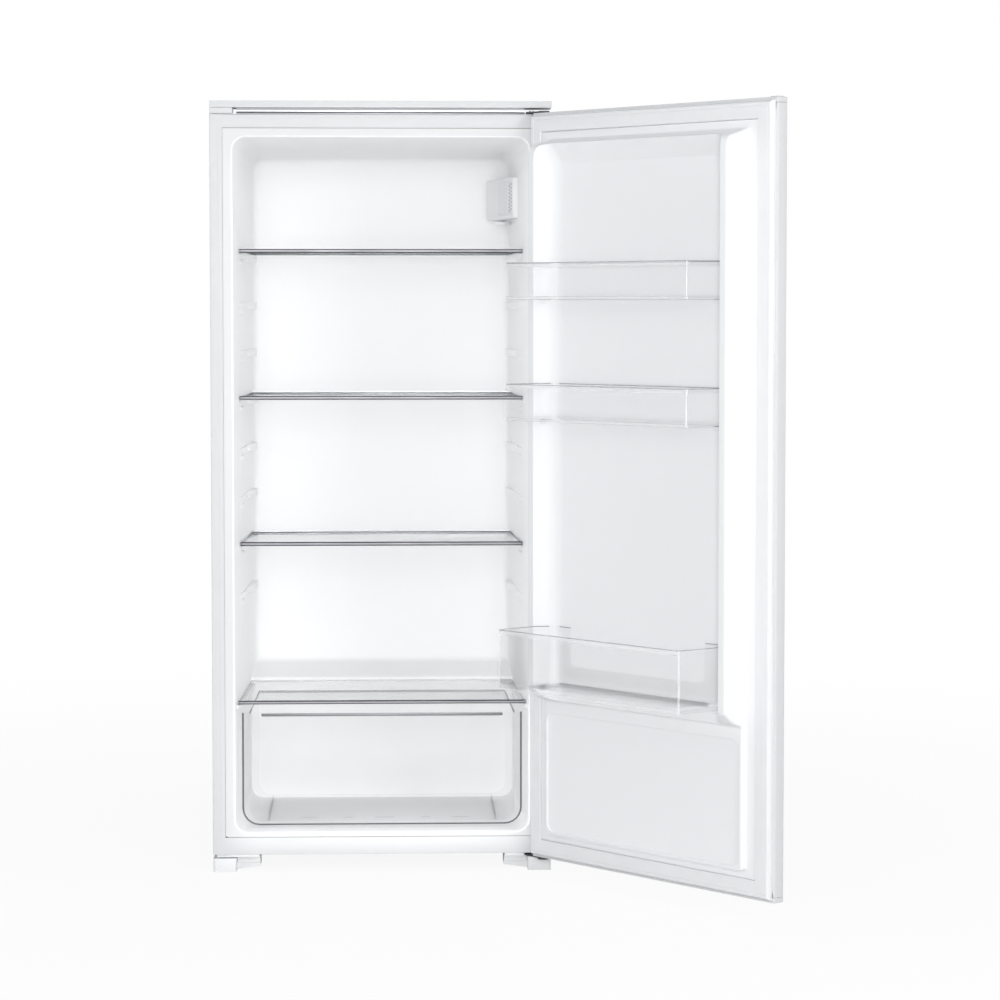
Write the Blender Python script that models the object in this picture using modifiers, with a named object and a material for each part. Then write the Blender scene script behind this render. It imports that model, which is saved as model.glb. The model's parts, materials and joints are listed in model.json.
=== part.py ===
"""Built-in column refrigerator for a 122 cm niche, with its right-hinged door standing open.

Metres, +Z up, X to the right seen from the front, Y to the back. The origin is the centre of the base plate's
underside. Depths are measured from the plane of the cabinet's front frame, positive to the back. The door and
all that hangs on it are modelled as they stand when it is shut, and then turned about the hinge axis.
"""

import math

import bmesh
import bpy
from mathutils import Matrix, Vector

# General values
GAP = 0.0003
OVERRUN = 0.03
SHEET = 0.0008
FOLD_RADIUS = 0.0025
EDGE = 0.0015

# Cabinet
CABINET_WIDTH = 0.540
CABINET_HEIGHT = 1.225
CASING_DEPTH = 0.490
CASING_BOTTOM = 0.028
TRIM_STAND = 0.0205
CASING_TOP = CABINET_HEIGHT - TRIM_STAND
FRONT_RETURN = 0.020
REAR_RETURN = 0.014
TOP_RAIL_HEIGHT = 0.0222
TOP_RAIL_REACH = 0.030
BOTTOM_RAIL_HEIGHT = 0.0275
BOTTOM_RAIL_REACH = 0.060

# Top trim, hinge strip and blanking cap
TRIM_HEIGHT = 0.0105
TRIM_REACH = 0.055
TRIM_END_INSET = 0.0420
TRIM_WEB_END = CABINET_WIDTH / 2 - TRIM_END_INSET
STRIP_LIFT = 0.0030
STRIP_BOTTOM = CASING_TOP + STRIP_LIFT
STRIP_HEIGHT = 0.0030
STRIP_END = TRIM_WEB_END
STRIP_REACH = 0.025
CAP_WIDTH = 0.0365
CAP_LIFT = 0.0037
CAP_BOTTOM = CASING_TOP + CAP_LIFT
CAP_HEIGHT = 0.0048
CAP_REACH = 0.030
CAP_FOOT_START = 0.012

# Cavity and liner
SIDE_INSULATION = 0.036
TOP_INSULATION = 0.0368
REAR_INSULATION = 0.035
CAVITY_TAPER = 0.009
CAVITY_WIDTH = CABINET_WIDTH - 2 * SIDE_INSULATION
CAVITY_BACK_WIDTH = CAVITY_WIDTH - CAVITY_TAPER
CAVITY_BOTTOM = 0.064
CAVITY_TOP = CASING_TOP - TOP_INSULATION
CAVITY_TOP_DROP = 0.0045
CAVITY_DEPTH = CASING_DEPTH - REAR_INSULATION
CAVITY_CORNER = 0.020
LINER_WALL = 0.0015
HUMP_LENGTH = 0.095
HUMP_FRONT = CAVITY_DEPTH - HUMP_LENGTH
HUMP_FRONT_HEIGHT = 0.2065
HUMP_RISE = 0.0171

# Shelf ribs of the liner
RIB_REACH = 0.008
RIB_HEIGHT = 0.007
RIB_START = 0.112
RIB_END_CLEARANCE = 0.050
RIB_END = CAVITY_DEPTH - RIB_END_CLEARANCE
LOWEST_LEVEL = 0.4333
TOP_LEVEL_DROP = 0.1800
RIB_LEVELS = 8
RIB_PITCH = (CAVITY_TOP - TOP_LEVEL_DROP - LOWEST_LEVEL) / (RIB_LEVELS - 1)
SHELF_LEVELS = (1, 4, 7)
LEDGE_LEVEL = 0.2622
LEDGE_START = 0.047
LEDGE_END_CLEARANCE = 0.020
LEDGE_END = HUMP_FRONT - LEDGE_END_CLEARANCE

# Shelves and crisper cover
SHELF_FRONT = 0.118
SHELF_REAR_CLEARANCE = 0.065
SHELF_SIDE_CLEARANCE = 0.0065
SHELF_DEPTH = CAVITY_DEPTH - SHELF_REAR_CLEARANCE - SHELF_FRONT
SHELF_WIDTH = CAVITY_WIDTH - 2 * SHELF_SIDE_CLEARANCE
GLASS = 0.004
TRIM_CHANNEL_HEIGHT = 0.006
TRIM_CHANNEL_REACH = 0.011
TRIM_CHANNEL_WALL = 0.0007
COVER_FRONT = 0.050
COVER_REAR_CLEARANCE = 0.013
COVER_SIDE_CLEARANCE = 0.0055
COVER_DEPTH = HUMP_FRONT - COVER_REAR_CLEARANCE - COVER_FRONT
COVER_WIDTH = CAVITY_WIDTH - 2 * COVER_SIDE_CLEARANCE

# Crisper drawer
DRAWER_FRONT = 0.050
DRAWER_REAR_CLEARANCE = 0.012
DRAWER_SIDE_CLEARANCE = 0.0115
DRAWER_FLOOR_CLEARANCE = 0.0065
DRAWER_TOP_CLEARANCE = 0.0132
DRAWER_DEPTH = HUMP_FRONT - DRAWER_REAR_CLEARANCE - DRAWER_FRONT
DRAWER_WIDTH = CAVITY_WIDTH - 2 * DRAWER_SIDE_CLEARANCE
DRAWER_BACK_WIDTH = DRAWER_WIDTH - CAVITY_TAPER
DRAWER_BOTTOM = CAVITY_BOTTOM + DRAWER_FLOOR_CLEARANCE
DRAWER_TOP = LEDGE_LEVEL - DRAWER_TOP_CLEARANCE
DRAWER_WALL = 0.0024
DRAWER_CORNER = 0.022
RUNNER_INSET = 0.0280
RUNNER_SPACING = DRAWER_BACK_WIDTH - 2 * RUNNER_INSET
RUNNER_WIDTH = 0.006
HANDLE_INSET = 0.0285
HANDLE_WIDTH = DRAWER_WIDTH - 2 * HANDLE_INSET
HANDLE_HEIGHT = 0.0045
HANDLE_THICKNESS = 0.0025
HANDLE_DROP = 0.0010

# Door
DOOR_ANGLE = 128.4
DOOR_WIDTH = CABINET_WIDTH
DOOR_DROP = 0.0015
DOOR_BOTTOM = CASING_BOTTOM - DOOR_DROP
DOOR_RISE = 0.0005
DOOR_TOP = CASING_TOP + DOOR_RISE
DOOR_FACE = 0.0315
DOOR_BACK = 0.0111
DOOR_CAP = 0.008
DOOR_RETURN = 0.010
DOOR_FOAM_LAP = 0.004
TAB_INSET = 0.003
TAB_WIDTH = 0.016
TAB_HEIGHT = 0.0015
HINGE_INSET = 0.0136
HINGE_X = CABINET_WIDTH / 2 - HINGE_INSET
HINGE_DEPTH = 0.0225

# Door liner
BULGE_INSET = 0.049
BULGE_BOTTOM = 0.0705
BULGE_TOP_INSET = 0.0410
BULGE_TOP = DOOR_TOP - BULGE_TOP_INSET
SHOULDER_HEIGHT = 0.0340
SHOULDER_DROP = 0.0130
ROUND_END_DROP = 0.0380
ROUND_END_CONTROL_DROP = 0.0170
BULGE_EDGE = 0.005
CREST_HEIGHT = 0.0430
CREST_WIDTH = 0.015
CREST_BOTTOM = 0.309
CREST_FOOT = 0.279
PLATEAU_HEIGHT = 0.0070
RECESS_HEIGHT = 0.0130
RECESS_SLOPE = 0.018
RECESS_TOP_DROP = 0.0405
RECESS_TOP_SLOPE = 0.0644
FLANGE_INSET = 0.0040

# Gasket
GASKET_INSET = 0.0045
GASKET_WIDTH = 0.027
GASKET_SLOPE = 0.0105

# Door bins and bottle rack
BIN_NAMES = ("bin_upper", "bin_middle")
BIN_DROPS = (0.252, 0.438)
BIN_BOTTOMS = [BULGE_TOP - drop for drop in BIN_DROPS]
BIN_HEIGHT = 0.0565
BIN_FRONT = 0.106
BIN_FRONT_INSET = 0.068
BIN_FRONT_WIDTH = DOOR_WIDTH - 2 * BIN_FRONT_INSET
BIN_WALL = 0.0022
BIN_CORNER = 0.006
BIN_BACK_CLEARANCE = 0.0010
BIN_SIDE_CLEARANCE = 0.0016
RACK_BOTTOM = 0.3095
RACK_HEIGHT = 0.0935
RACK_FRONT = 0.120
RACK_FLOOR = 0.0095
RACK_REAR_HEIGHT = 0.0325
RACK_REAR_CUT = 0.150
LUG_START = 0.024
LUG_END = 0.036
LUG_REACH = 0.0086
LUG_HEIGHT = 0.006
HOOK_WALL = 0.005

# Hinges
BRACKET_SHEET = 0.0025
UPPER_BRACKET_LIFT = 0.0010
UPPER_BRACKET_BOTTOM = CASING_TOP + UPPER_BRACKET_LIFT
LOWER_BRACKET_DROP = 0.0058
LOWER_BRACKET_BOTTOM = CASING_BOTTOM - LOWER_BRACKET_DROP
BRACKET_ROUND = 0.0090
BRACKET_ROOT_WIDTH = 0.036
BRACKET_ROOT_START = 0.001
BRACKET_ROOT_END = 0.026
PIN_RADIUS = 0.0030
PIN_REACH = 0.0068
WASHER_RADIUS = 0.0048
WASHER_HEIGHT = 0.0012
BUSH_RADIUS = 0.0055
BUSH_WALL = 0.0021
SCREW_RADIUS = 0.0040
SCREW_HEAD = 0.0022
SCREW_SHANK = 0.0018
SCREW_INSET = 0.0090
SCREW_DEPTH = 0.0130

# Feet
FOOT_BLOCK_WIDTH = 0.0370
FOOT_WING_END = 0.0750
FOOT_HEIGHT = 0.0213
FOOT_WING_BOTTOM = 0.0015
FOOT_WING_TOP = 0.0195
FOOT_WING_START = 0.020
FOOT_END = 0.060
FOOT_START = 0.001
FOOT_POST_START = 0.034
FOOT_POST_INSET = 0.006

# Lamp and thermostat housing on the right wall
HOUSING_TOP_DROP = 0.0557
HOUSING_HEIGHT = 0.0670
HOUSING_END_CLEARANCE = 0.027
HOUSING_LENGTH = 0.188
HOUSING_NOSE_LENGTH = 0.005
HOUSING_MIDDLE_SET = 0.042
HOUSING_BACK_SET = 0.003
HOUSING_TOP = CAVITY_TOP - HOUSING_TOP_DROP
HOUSING_BOTTOM = HOUSING_TOP - HOUSING_HEIGHT
HOUSING_END = CAVITY_DEPTH - HOUSING_END_CLEARANCE
HOUSING_START = HOUSING_END - HOUSING_LENGTH
HOUSING_NOSE = HOUSING_START + HOUSING_NOSE_LENGTH
HOUSING_MIDDLE = HOUSING_END - HOUSING_MIDDLE_SET
HOUSING_BACK = HOUSING_END - HOUSING_BACK_SET
NOSE_REACH = 0.0170
MIDDLE_REACH = 0.0367
BACK_REACH = 0.0498
HOUSING_WALL = 0.0020
LENS_SET = 0.022
LENS_LENGTH = 0.090
LENS_START = HOUSING_START + LENS_SET
LENS_END = LENS_START + LENS_LENGTH
LENS_HEIGHT = 0.046
LENS_THICKNESS = 0.0022
DIAL_RADIUS = 0.0170
DIAL_THICKNESS = 0.0050
DIAL_HUB_RADIUS = 0.0045
DIAL_HUB_HEIGHT = 0.0060
DIAL_SET = 0.033
DIAL_DEPTH = HOUSING_END - DIAL_SET
DIAL_REACH = 0.0235
DIAL_NOTCH = 0.003

# Compressor recess and base plate
RECESS_LENGTH = 0.102
RECESS_RAMP = 0.058
RECESS_FRONT = CASING_DEPTH - RECESS_LENGTH
RECESS_RAMP_START = RECESS_FRONT - RECESS_RAMP
RECESS_TOP = 0.2350
RECESS_TOP_RISE = 0.0200
BASE_PLATE_CLEARANCE = 0.007
BASE_PLATE_OVERHANG = 0.012
BASE_PLATE_FRONT = RECESS_FRONT + BASE_PLATE_CLEARANCE
BASE_PLATE_REAR = CASING_DEPTH + BASE_PLATE_OVERHANG
BASE_PLATE_SHEET = 0.0020
BASE_PLATE_EDGE = 0.012
BASE_PLATE_EAR = 0.045
BASE_PLATE_EAR_INSET = 0.012
COMPRESSOR_INSET = 0.210
COMPRESSOR_X = CABINET_WIDTH / 2 - COMPRESSOR_INSET
COMPRESSOR_LENGTH = 0.168
COMPRESSOR_BREADTH = 0.098
COMPRESSOR_BOTTOM = 0.012
COMPRESSOR_TOP = 0.168
COMPRESSOR_ROUND = 0.030
FOOT_PLATE_LENGTH = 0.216
FOOT_PLATE_BREADTH = 0.050
FOOT_PLATE_SHEET = 0.003
GROMMET_RADIUS = 0.010
GROMMET_SPACING = 0.192
RELAY_WIDTH = 0.032
RELAY_BREADTH = 0.060
RELAY_HEIGHT = 0.058
RELAY_BOTTOM = 0.060
GLAND_RADIUS = 0.008
GLAND_LENGTH = 0.018
TRAY_LENGTH = 0.150
TRAY_BREADTH = 0.085
TRAY_HEIGHT = 0.030
TRAY_WALL = 0.0018
DRAIN_INSET = 0.030
DRAIN_DEPTH = CAVITY_DEPTH - DRAIN_INSET
DRAIN_TOP = 0.2790
DRAIN_END = 0.190
DRAIN_RADIUS = 0.0080
DRAIN_WALL = 0.0015

# Refrigerating circuit
EVAPORATOR_INSET = 0.054
EVAPORATOR_WIDTH = CAVITY_WIDTH - 2 * EVAPORATOR_INSET
EVAPORATOR_BOTTOM = 0.480
EVAPORATOR_TOP_DROP = 0.1277
EVAPORATOR_TOP = CAVITY_TOP - EVAPORATOR_TOP_DROP
EVAPORATOR_THICKNESS = 0.0030
TUBE_RADIUS = 0.0025
SUCTION_RADIUS = 0.0035
SUCTION_INSET = 0.095
SUCTION_SET = 0.0062
SUCTION_X = CABINET_WIDTH / 2 - SUCTION_INSET
SUCTION_DEPTH = CAVITY_DEPTH + SUCTION_SET
SUCTION_LEVEL = 0.100
DISCHARGE_INSET = 0.070
DISCHARGE_SET = 0.040
DISCHARGE_X = CABINET_WIDTH / 2 - DISCHARGE_INSET
DISCHARGE_DEPTH = BASE_PLATE_FRONT + DISCHARGE_SET
DISCHARGE_LEVEL = 0.060
PIPE_BEND = 0.014
CONDENSER_STAND = 0.0095
CONDENSER_TOP_DROP = 0.0745
CONDENSER_INSET = 0.050
CONDENSER_DEPTH = CASING_DEPTH + CONDENSER_STAND
CONDENSER_BOTTOM = 0.330
CONDENSER_FIRST = 0.360
CONDENSER_TOP = CASING_TOP - CONDENSER_TOP_DROP
CONDENSER_HALF = CABINET_WIDTH / 2 - CONDENSER_INSET
CONDENSER_PASSES = 12
CONDENSER_RETURN_SET = 0.016
CONDENSER_RETURN_X = CONDENSER_HALF + CONDENSER_RETURN_SET
DRYER_INSET = 0.012
DRYER_DEPTH = CASING_DEPTH - DRYER_INSET
DRYER_TOP = 0.168
DRYER_LENGTH = 0.083
DRYER_RADIUS = 0.008
DRYER_LEAD = 0.055
LOUVRE_PLATE_INSET = 0.005
LOUVRE_PLATE_HALF = CONDENSER_HALF - LOUVRE_PLATE_INSET
LOUVRE_COLUMNS = 5
LOUVRE_PITCH = 0.080
LOUVRE_WIDTH = 0.060
LOUVRE_HEIGHT = 0.020
SPACER_SIZE = 0.010
SPACER_ROWS = (1, 9)

# Values that follow from the ones above
FRONT_Y = -(BASE_PLATE_FRONT + BASE_PLATE_REAR) / 2
HALF = CABINET_WIDTH / 2
DOOR_HALF = DOOR_WIDTH / 2
SKIN = SHEET / 2
PLATE_MIDDLE = (BASE_PLATE_FRONT + BASE_PLATE_REAR) / 2
CAVITY_DRAFT = (CAVITY_WIDTH - CAVITY_BACK_WIDTH) / 2 / CAVITY_DEPTH
HUMP_TOP = CAVITY_BOTTOM + HUMP_FRONT_HEIGHT
TOP_RAIL_BOTTOM = CASING_TOP - TOP_RAIL_HEIGHT
BOTTOM_RAIL_TOP = CASING_BOTTOM + BOTTOM_RAIL_HEIGHT
INNER_HALF = HALF - SHEET - GAP
RAIL_HALF = HALF - FRONT_RETURN - GAP
DOOR_LINER_BACK = -DOOR_BACK + GAP
BIN_BACK = RECESS_HEIGHT + BIN_BACK_CLEARANCE
CONDENSER_STEP = (CONDENSER_TOP - CONDENSER_FIRST) / (CONDENSER_PASSES - 1)

ROUND = 24
CORNER_STEPS = 3
FOLD_STEPS = 2
FOLD_ANGLE = 50
SLOPE_STEPS = 6

parts = bpy.data.collections.new("column_refrigerator")
cutters = bpy.data.collections.new("cutters")


def clear_scene():
    """Empties the file and links the two collections."""
    for obj in list(bpy.data.objects):
        bpy.data.objects.remove(obj, do_unlink=True)
    for collection in (parts, cutters):
        bpy.context.scene.collection.children.link(collection)


def material(name, colour, roughness, metallic=0.0, alpha=1.0):
    """A Principled BSDF material with one colour."""
    mat = bpy.data.materials.new(name)
    mat.use_nodes = True
    shader = mat.node_tree.nodes["Principled BSDF"]
    shader.inputs["Base Color"].default_value = (*colour, 1.0)
    shader.inputs["Roughness"].default_value = roughness
    shader.inputs["Metallic"].default_value = metallic
    shader.inputs["Alpha"].default_value = alpha
    mat.diffuse_color = (*colour, alpha)
    return mat


def at(x, depth, z):
    """The point at a depth behind the front frame."""
    return Vector((x, FRONT_Y + depth, z))


def add_mesh(name, bm, mat):
    """Turns a bmesh into an object among the parts, or among the cutters where it has no material."""
    bmesh.ops.recalc_face_normals(bm, faces=bm.faces)
    mesh = bpy.data.meshes.new(name)
    bm.to_mesh(mesh)
    bm.free()
    obj = bpy.data.objects.new(name, mesh)
    if mat:
        mesh.materials.append(mat)
        parts.objects.link(obj)
    else:
        obj.hide_render = True
        obj.display_type = "WIRE"
        cutters.objects.link(obj)
    return obj


def bevel(obj, width, steps=1, angle=30):
    """Rounds the edges sharper than an angle."""
    mod = obj.modifiers.new("rounded edges", "BEVEL")
    mod.width = width
    mod.segments = steps
    mod.limit_method = "ANGLE"
    mod.angle_limit = math.radians(angle)
    return obj


def box(name, low, high, mat=None, edge=0.0, steps=1):
    """A box between two corners, with its edges bevelled where an edge width is given."""
    bm = bmesh.new()
    bmesh.ops.create_cube(bm, size=1.0)
    bmesh.ops.scale(bm, vec=high - low, verts=bm.verts)
    bmesh.ops.translate(bm, vec=(low + high) / 2, verts=bm.verts)
    obj = add_mesh(name, bm, mat)
    return bevel(obj, edge, steps) if edge else obj


def boxes(name, pairs):
    """Several separate boxes in one cutter."""
    bm = bmesh.new()
    for low, high in pairs:
        made = bmesh.ops.create_cube(bm, size=1.0)["verts"]
        bmesh.ops.scale(bm, vec=high - low, verts=made)
        bmesh.ops.translate(bm, vec=(low + high) / 2, verts=made)
    return add_mesh(name, bm, None)


def cylinder(name, centre, radius, length, mat=None, axis="Z"):
    """A round bar about its centre, along X, Y or Z."""
    turn = {"Z": Matrix(), "X": Matrix.Rotation(math.pi / 2, 4, "Y"), "Y": Matrix.Rotation(math.pi / 2, 4, "X")}
    place = Matrix.Translation(centre) @ turn[axis]
    bm = bmesh.new()
    bmesh.ops.create_cone(bm, cap_ends=True, segments=ROUND, radius1=radius, radius2=radius, depth=length, matrix=place)
    return add_mesh(name, bm, mat)


def sweep_way(along, low, high):
    """The base point and the way of a sweep. Along Z a path is (x, depth), and along X it is (depth, z)."""
    if along == "Z":
        return (lambda a, b: at(a, b, low)), Vector((0, 0, high - low))
    return (lambda a, b: at(low, a, b)), Vector((high - low, 0, 0))


def prism(name, outline, low, high, along, mat=None):
    """A flat outline carried from low to high."""
    place, way = sweep_way(along, low, high)
    bm = bmesh.new()
    corners = [bm.verts.new(place(a, b)) for a, b in outline]
    edges = [bm.edges.new(pair) for pair in zip(corners, corners[1:] + corners[:1])]
    bmesh.ops.contextual_create(bm, geom=edges)
    moved = bmesh.ops.extrude_face_region(bm, geom=list(bm.faces))["geom"]
    bmesh.ops.translate(bm, vec=way, verts=[v for v in moved if isinstance(v, bmesh.types.BMVert)])
    return add_mesh(name, bm, mat)


def folded_sheet(name, path, low, high, along, thickness, mat, fold=FOLD_RADIUS):
    """A strip of sheet whose middle follows a path with folds."""
    place, way = sweep_way(along, low, high)
    bm = bmesh.new()
    corners = [bm.verts.new(place(a, b)) for a, b in path]
    edges = [bm.edges.new(pair) for pair in zip(corners, corners[1:])]
    moved = bmesh.ops.extrude_edge_only(bm, edges=edges)["geom"]
    bmesh.ops.translate(bm, vec=way, verts=[v for v in moved if isinstance(v, bmesh.types.BMVert)])
    obj = add_mesh(name, bm, mat)
    if fold:
        bevel(obj, fold, FOLD_STEPS, FOLD_ANGLE)
    wall = obj.modifiers.new("sheet thickness", "SOLIDIFY")
    wall.thickness = thickness
    wall.offset = 0.0
    wall.use_even_offset = True
    return obj


def beside(path, by):
    """An open path moved to the left of its run."""
    points = [Vector(p) for p in path]
    sides = []
    for a, b in zip(points, points[1:]):
        run = (b - a).normalized()
        sides.append(Vector((-run.y, run.x)))
    moved = [points[0] + sides[0] * by]
    for corner, first, second in zip(points[1:], sides, sides[1:]):
        moved.append(corner + (first + second) * (by / (1 + first.dot(second))))
    moved.append(points[-1] + sides[-1] * by)
    return [tuple(p) for p in moved]


def inset(outline, by):
    """A closed outline moved inwards."""
    following = outline[1:] + outline[:1]
    area = sum(a[0] * b[1] - a[1] * b[0] for a, b in zip(outline, following))
    ring = [outline[-1], *outline, outline[0]]
    return beside(ring, math.copysign(by, area))[1:-1]


def rounded_route(points, bend, steps=3):
    """The points of a route whose corners are turned on a bend radius."""
    route = [points[0]]
    for before, corner, after in zip(points, points[1:], points[2:]):
        back = (before - corner).normalized()
        ahead = (after - corner).normalized()
        half = back.angle(ahead) / 2
        reach = bend / math.tan(half)
        middle = corner + (back + ahead).normalized() * (bend / math.sin(half))
        first = corner + back * reach - middle
        axis = first.cross(corner + ahead * reach - middle).normalized()
        sweep = math.pi - half - half
        for i in range(steps + 1):
            route.append(middle + Matrix.Rotation(sweep * i / steps, 3, axis) @ first)
    route.append(points[-1])
    return route


def tube(name, route, radius, mat):
    """A solid round pipe along a route, as a mesh with welded caps."""
    curve = bpy.data.curves.new(name, "CURVE")
    curve.dimensions = "3D"
    curve.bevel_depth = radius
    curve.bevel_resolution = 1
    curve.use_fill_caps = True
    spline = curve.splines.new("POLY")
    spline.points.add(len(route) - 1)
    for point, place in zip(spline.points, route):
        point.co = (*place, 1)
    guide = bpy.data.objects.new(name + "_guide", curve)
    cutters.objects.link(guide)
    graph = bpy.context.evaluated_depsgraph_get()
    mesh = bpy.data.meshes.new_from_object(guide.evaluated_get(graph))
    bm = bmesh.new()
    bm.from_mesh(mesh)
    bmesh.ops.remove_doubles(bm, verts=bm.verts, dist=GAP / 10)
    bpy.data.objects.remove(guide)
    obj = add_mesh(name, bm, mat)
    obj.data.shade_smooth()
    return obj


def combine(obj, other, operation):
    """Adds an exact Boolean with another mesh."""
    mod = obj.modifiers.new(operation.lower() + " " + other.name, "BOOLEAN")
    mod.operation = operation
    mod.solver = "EXACT"
    mod.object = other
    return obj


def cut(obj, *others):
    """Cuts other meshes out of an object."""
    for other in others:
        combine(obj, other, "DIFFERENCE")
    return obj


def join(obj, *others):
    """Joins other meshes on an object."""
    for other in others:
        combine(obj, other, "UNION")
    return obj


def pivot(name, place, turn=0.0, parent=None):
    """An empty on a joint's axis, turned about Z."""
    empty = bpy.data.objects.new(name, None)
    empty.location = place
    empty.rotation_euler = (0, 0, turn)
    parts.objects.link(empty)
    if parent:
        carry(empty, parent)
    return empty


def carry(obj, empty):
    """Hangs an object, and the meshes that cut it, on a pivot."""
    obj.parent = empty
    obj.matrix_parent_inverse = Matrix.Translation(-empty.location)
    for mod in obj.modifiers:
        if mod.type == "BOOLEAN" and mod.object.parent is None:
            carry(mod.object, empty)


def build_casing(white, steel, silver, board):
    """The steel panels, the front rails and the folded pan under the foam."""
    for side, name in ((-1, "side_panel_left"), (1, "side_panel_right")):
        path = [
            (side * (HALF - REAR_RETURN), CASING_DEPTH - SKIN),
            (side * (HALF - SKIN), CASING_DEPTH - SKIN),
            (side * (HALF - SKIN), SKIN),
            (side * (HALF - FRONT_RETURN), SKIN),
        ]
        folded_sheet(name, path, CASING_BOTTOM, CASING_TOP - SHEET - GAP, "Z", SHEET, white)
    roof = CASING_TOP - SKIN
    folded_sheet("top_panel", [(0, roof), (CASING_DEPTH, roof)], -HALF, HALF, "X", SHEET, white, fold=0)
    under = roof - SHEET - GAP
    path = [(SKIN, TOP_RAIL_BOTTOM), (SKIN, under), (TOP_RAIL_REACH, under)]
    folded_sheet("top_rail", path, -RAIL_HALF, RAIL_HALF, "X", SHEET, white)
    floor = CASING_BOTTOM + SKIN
    path = [(SKIN, BOTTOM_RAIL_TOP), (SKIN, floor), (BOTTOM_RAIL_REACH, floor)]
    folded_sheet("bottom_rail", path, -RAIL_HALF, RAIL_HALF, "X", SHEET, white)
    pan = folded_sheet("base_pan", pan_path(), -INNER_HALF, INNER_HALF, "X", SHEET, steel)
    cut(pan, drain_bore("drain_bore_in_pan"), suction_bore("suction_bore_in_pan"))
    back = CASING_DEPTH - SHEET - GAP - SKIN
    path = [(back, RECESS_TOP + RECESS_TOP_RISE), (back, CASING_TOP - SHEET - GAP)]
    end = INNER_HALF - FOLD_RADIUS
    folded_sheet("back_panel", path, -end, end, "X", SHEET, board, fold=0)


def pan_path():
    """The middle of the base pan: flat, up a ramp, up the recess and back over the compressor."""
    floor = CASING_BOTTOM + SKIN
    return [
        (BOTTOM_RAIL_REACH + GAP, floor),
        (RECESS_RAMP_START, floor),
        (RECESS_FRONT, floor + RECESS_FRONT - RECESS_RAMP_START),
        (RECESS_FRONT, RECESS_TOP),
        (CASING_DEPTH - SHEET - REAR_RETURN, RECESS_TOP + RECESS_TOP_RISE),
    ]


def build_top(white, silver):
    """The trim that closes the gap to the niche, the strip between the hinges and the blanking cap."""
    trim = box("top_trim", at(-HALF, 0, CABINET_HEIGHT - TRIM_HEIGHT), at(HALF, TRIM_REACH, CABINET_HEIGHT), white)
    web = box(
        "trim_web",
        at(-TRIM_WEB_END, STRIP_REACH + GAP, CASING_TOP + GAP),
        at(TRIM_WEB_END, TRIM_REACH - EDGE, CABINET_HEIGHT - TRIM_HEIGHT / 2),
    )
    join(trim, web)
    low = at(-STRIP_END, 0, STRIP_BOTTOM)
    box("hinge_strip", low, at(STRIP_END, STRIP_REACH, STRIP_BOTTOM + STRIP_HEIGHT), silver)
    low = at(-HALF + GAP, GAP, CAP_BOTTOM)
    cap = box("blanking_cap", low, at(-HALF + CAP_WIDTH, CAP_REACH, CAP_BOTTOM + CAP_HEIGHT), white)
    foot = box(
        "cap_foot",
        at(-HALF + EDGE, CAP_FOOT_START, CASING_TOP + GAP),
        at(-HALF + CAP_WIDTH - EDGE, CAP_REACH - EDGE, CAP_BOTTOM + CAP_HEIGHT / 2),
    )
    join(cap, foot)


def cavity_half(depth):
    """Half of the cavity's width at a depth."""
    return CAVITY_WIDTH / 2 - CAVITY_DRAFT * depth


def cavity_shape(name, grow, start):
    """The space of the cavity, grown outwards, from a depth in front of it."""
    base = CAVITY_BOTTOM - grow
    hump = HUMP_TOP - grow
    back = CAVITY_DEPTH + grow
    outline = [
        (start, base),
        (HUMP_FRONT + grow, base),
        (HUMP_FRONT + grow, hump),
        (back, hump + HUMP_RISE),
        (back, CAVITY_TOP - CAVITY_TOP_DROP + grow),
        (start, CAVITY_TOP + grow),
    ]
    shape = prism(name, outline, -1.0, 1.0, "X")
    for v in shape.data.vertices:
        v.co.x *= cavity_half(v.co.y - FRONT_Y) + grow
    return bevel(shape, CAVITY_CORNER, CORNER_STEPS)


def drain_bore(name):
    """The way of the drain tube through the liner, the foam and the base pan."""
    centre = at(COMPRESSOR_X, DRAIN_DEPTH, (DRAIN_TOP + RECESS_TOP) / 2)
    return cylinder(name, centre, DRAIN_RADIUS + GAP, DRAIN_TOP - RECESS_TOP + OVERRUN + OVERRUN)


def suction_bore(name):
    """The way of the suction pipe from the evaporator's pocket into the compressor recess."""
    low = RECESS_TOP - OVERRUN
    centre = at(SUCTION_X, SUCTION_DEPTH, (EVAPORATOR_BOTTOM + low) / 2)
    return cylinder(name, centre, SUCTION_RADIUS + GAP, EVAPORATOR_BOTTOM - low)


def rib(name, side, level, start, end):
    """A support rib on a side wall, whose root is sunk halfway into the liner."""
    outline = [(side * (cavity_half(depth) - RIB_REACH), depth) for depth in (start, end)]
    outline += [(side * (cavity_half(depth) + LINER_WALL / 2), depth) for depth in (end, start)]
    return prism(name, outline, level - RIB_HEIGHT, level, "Z")


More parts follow.
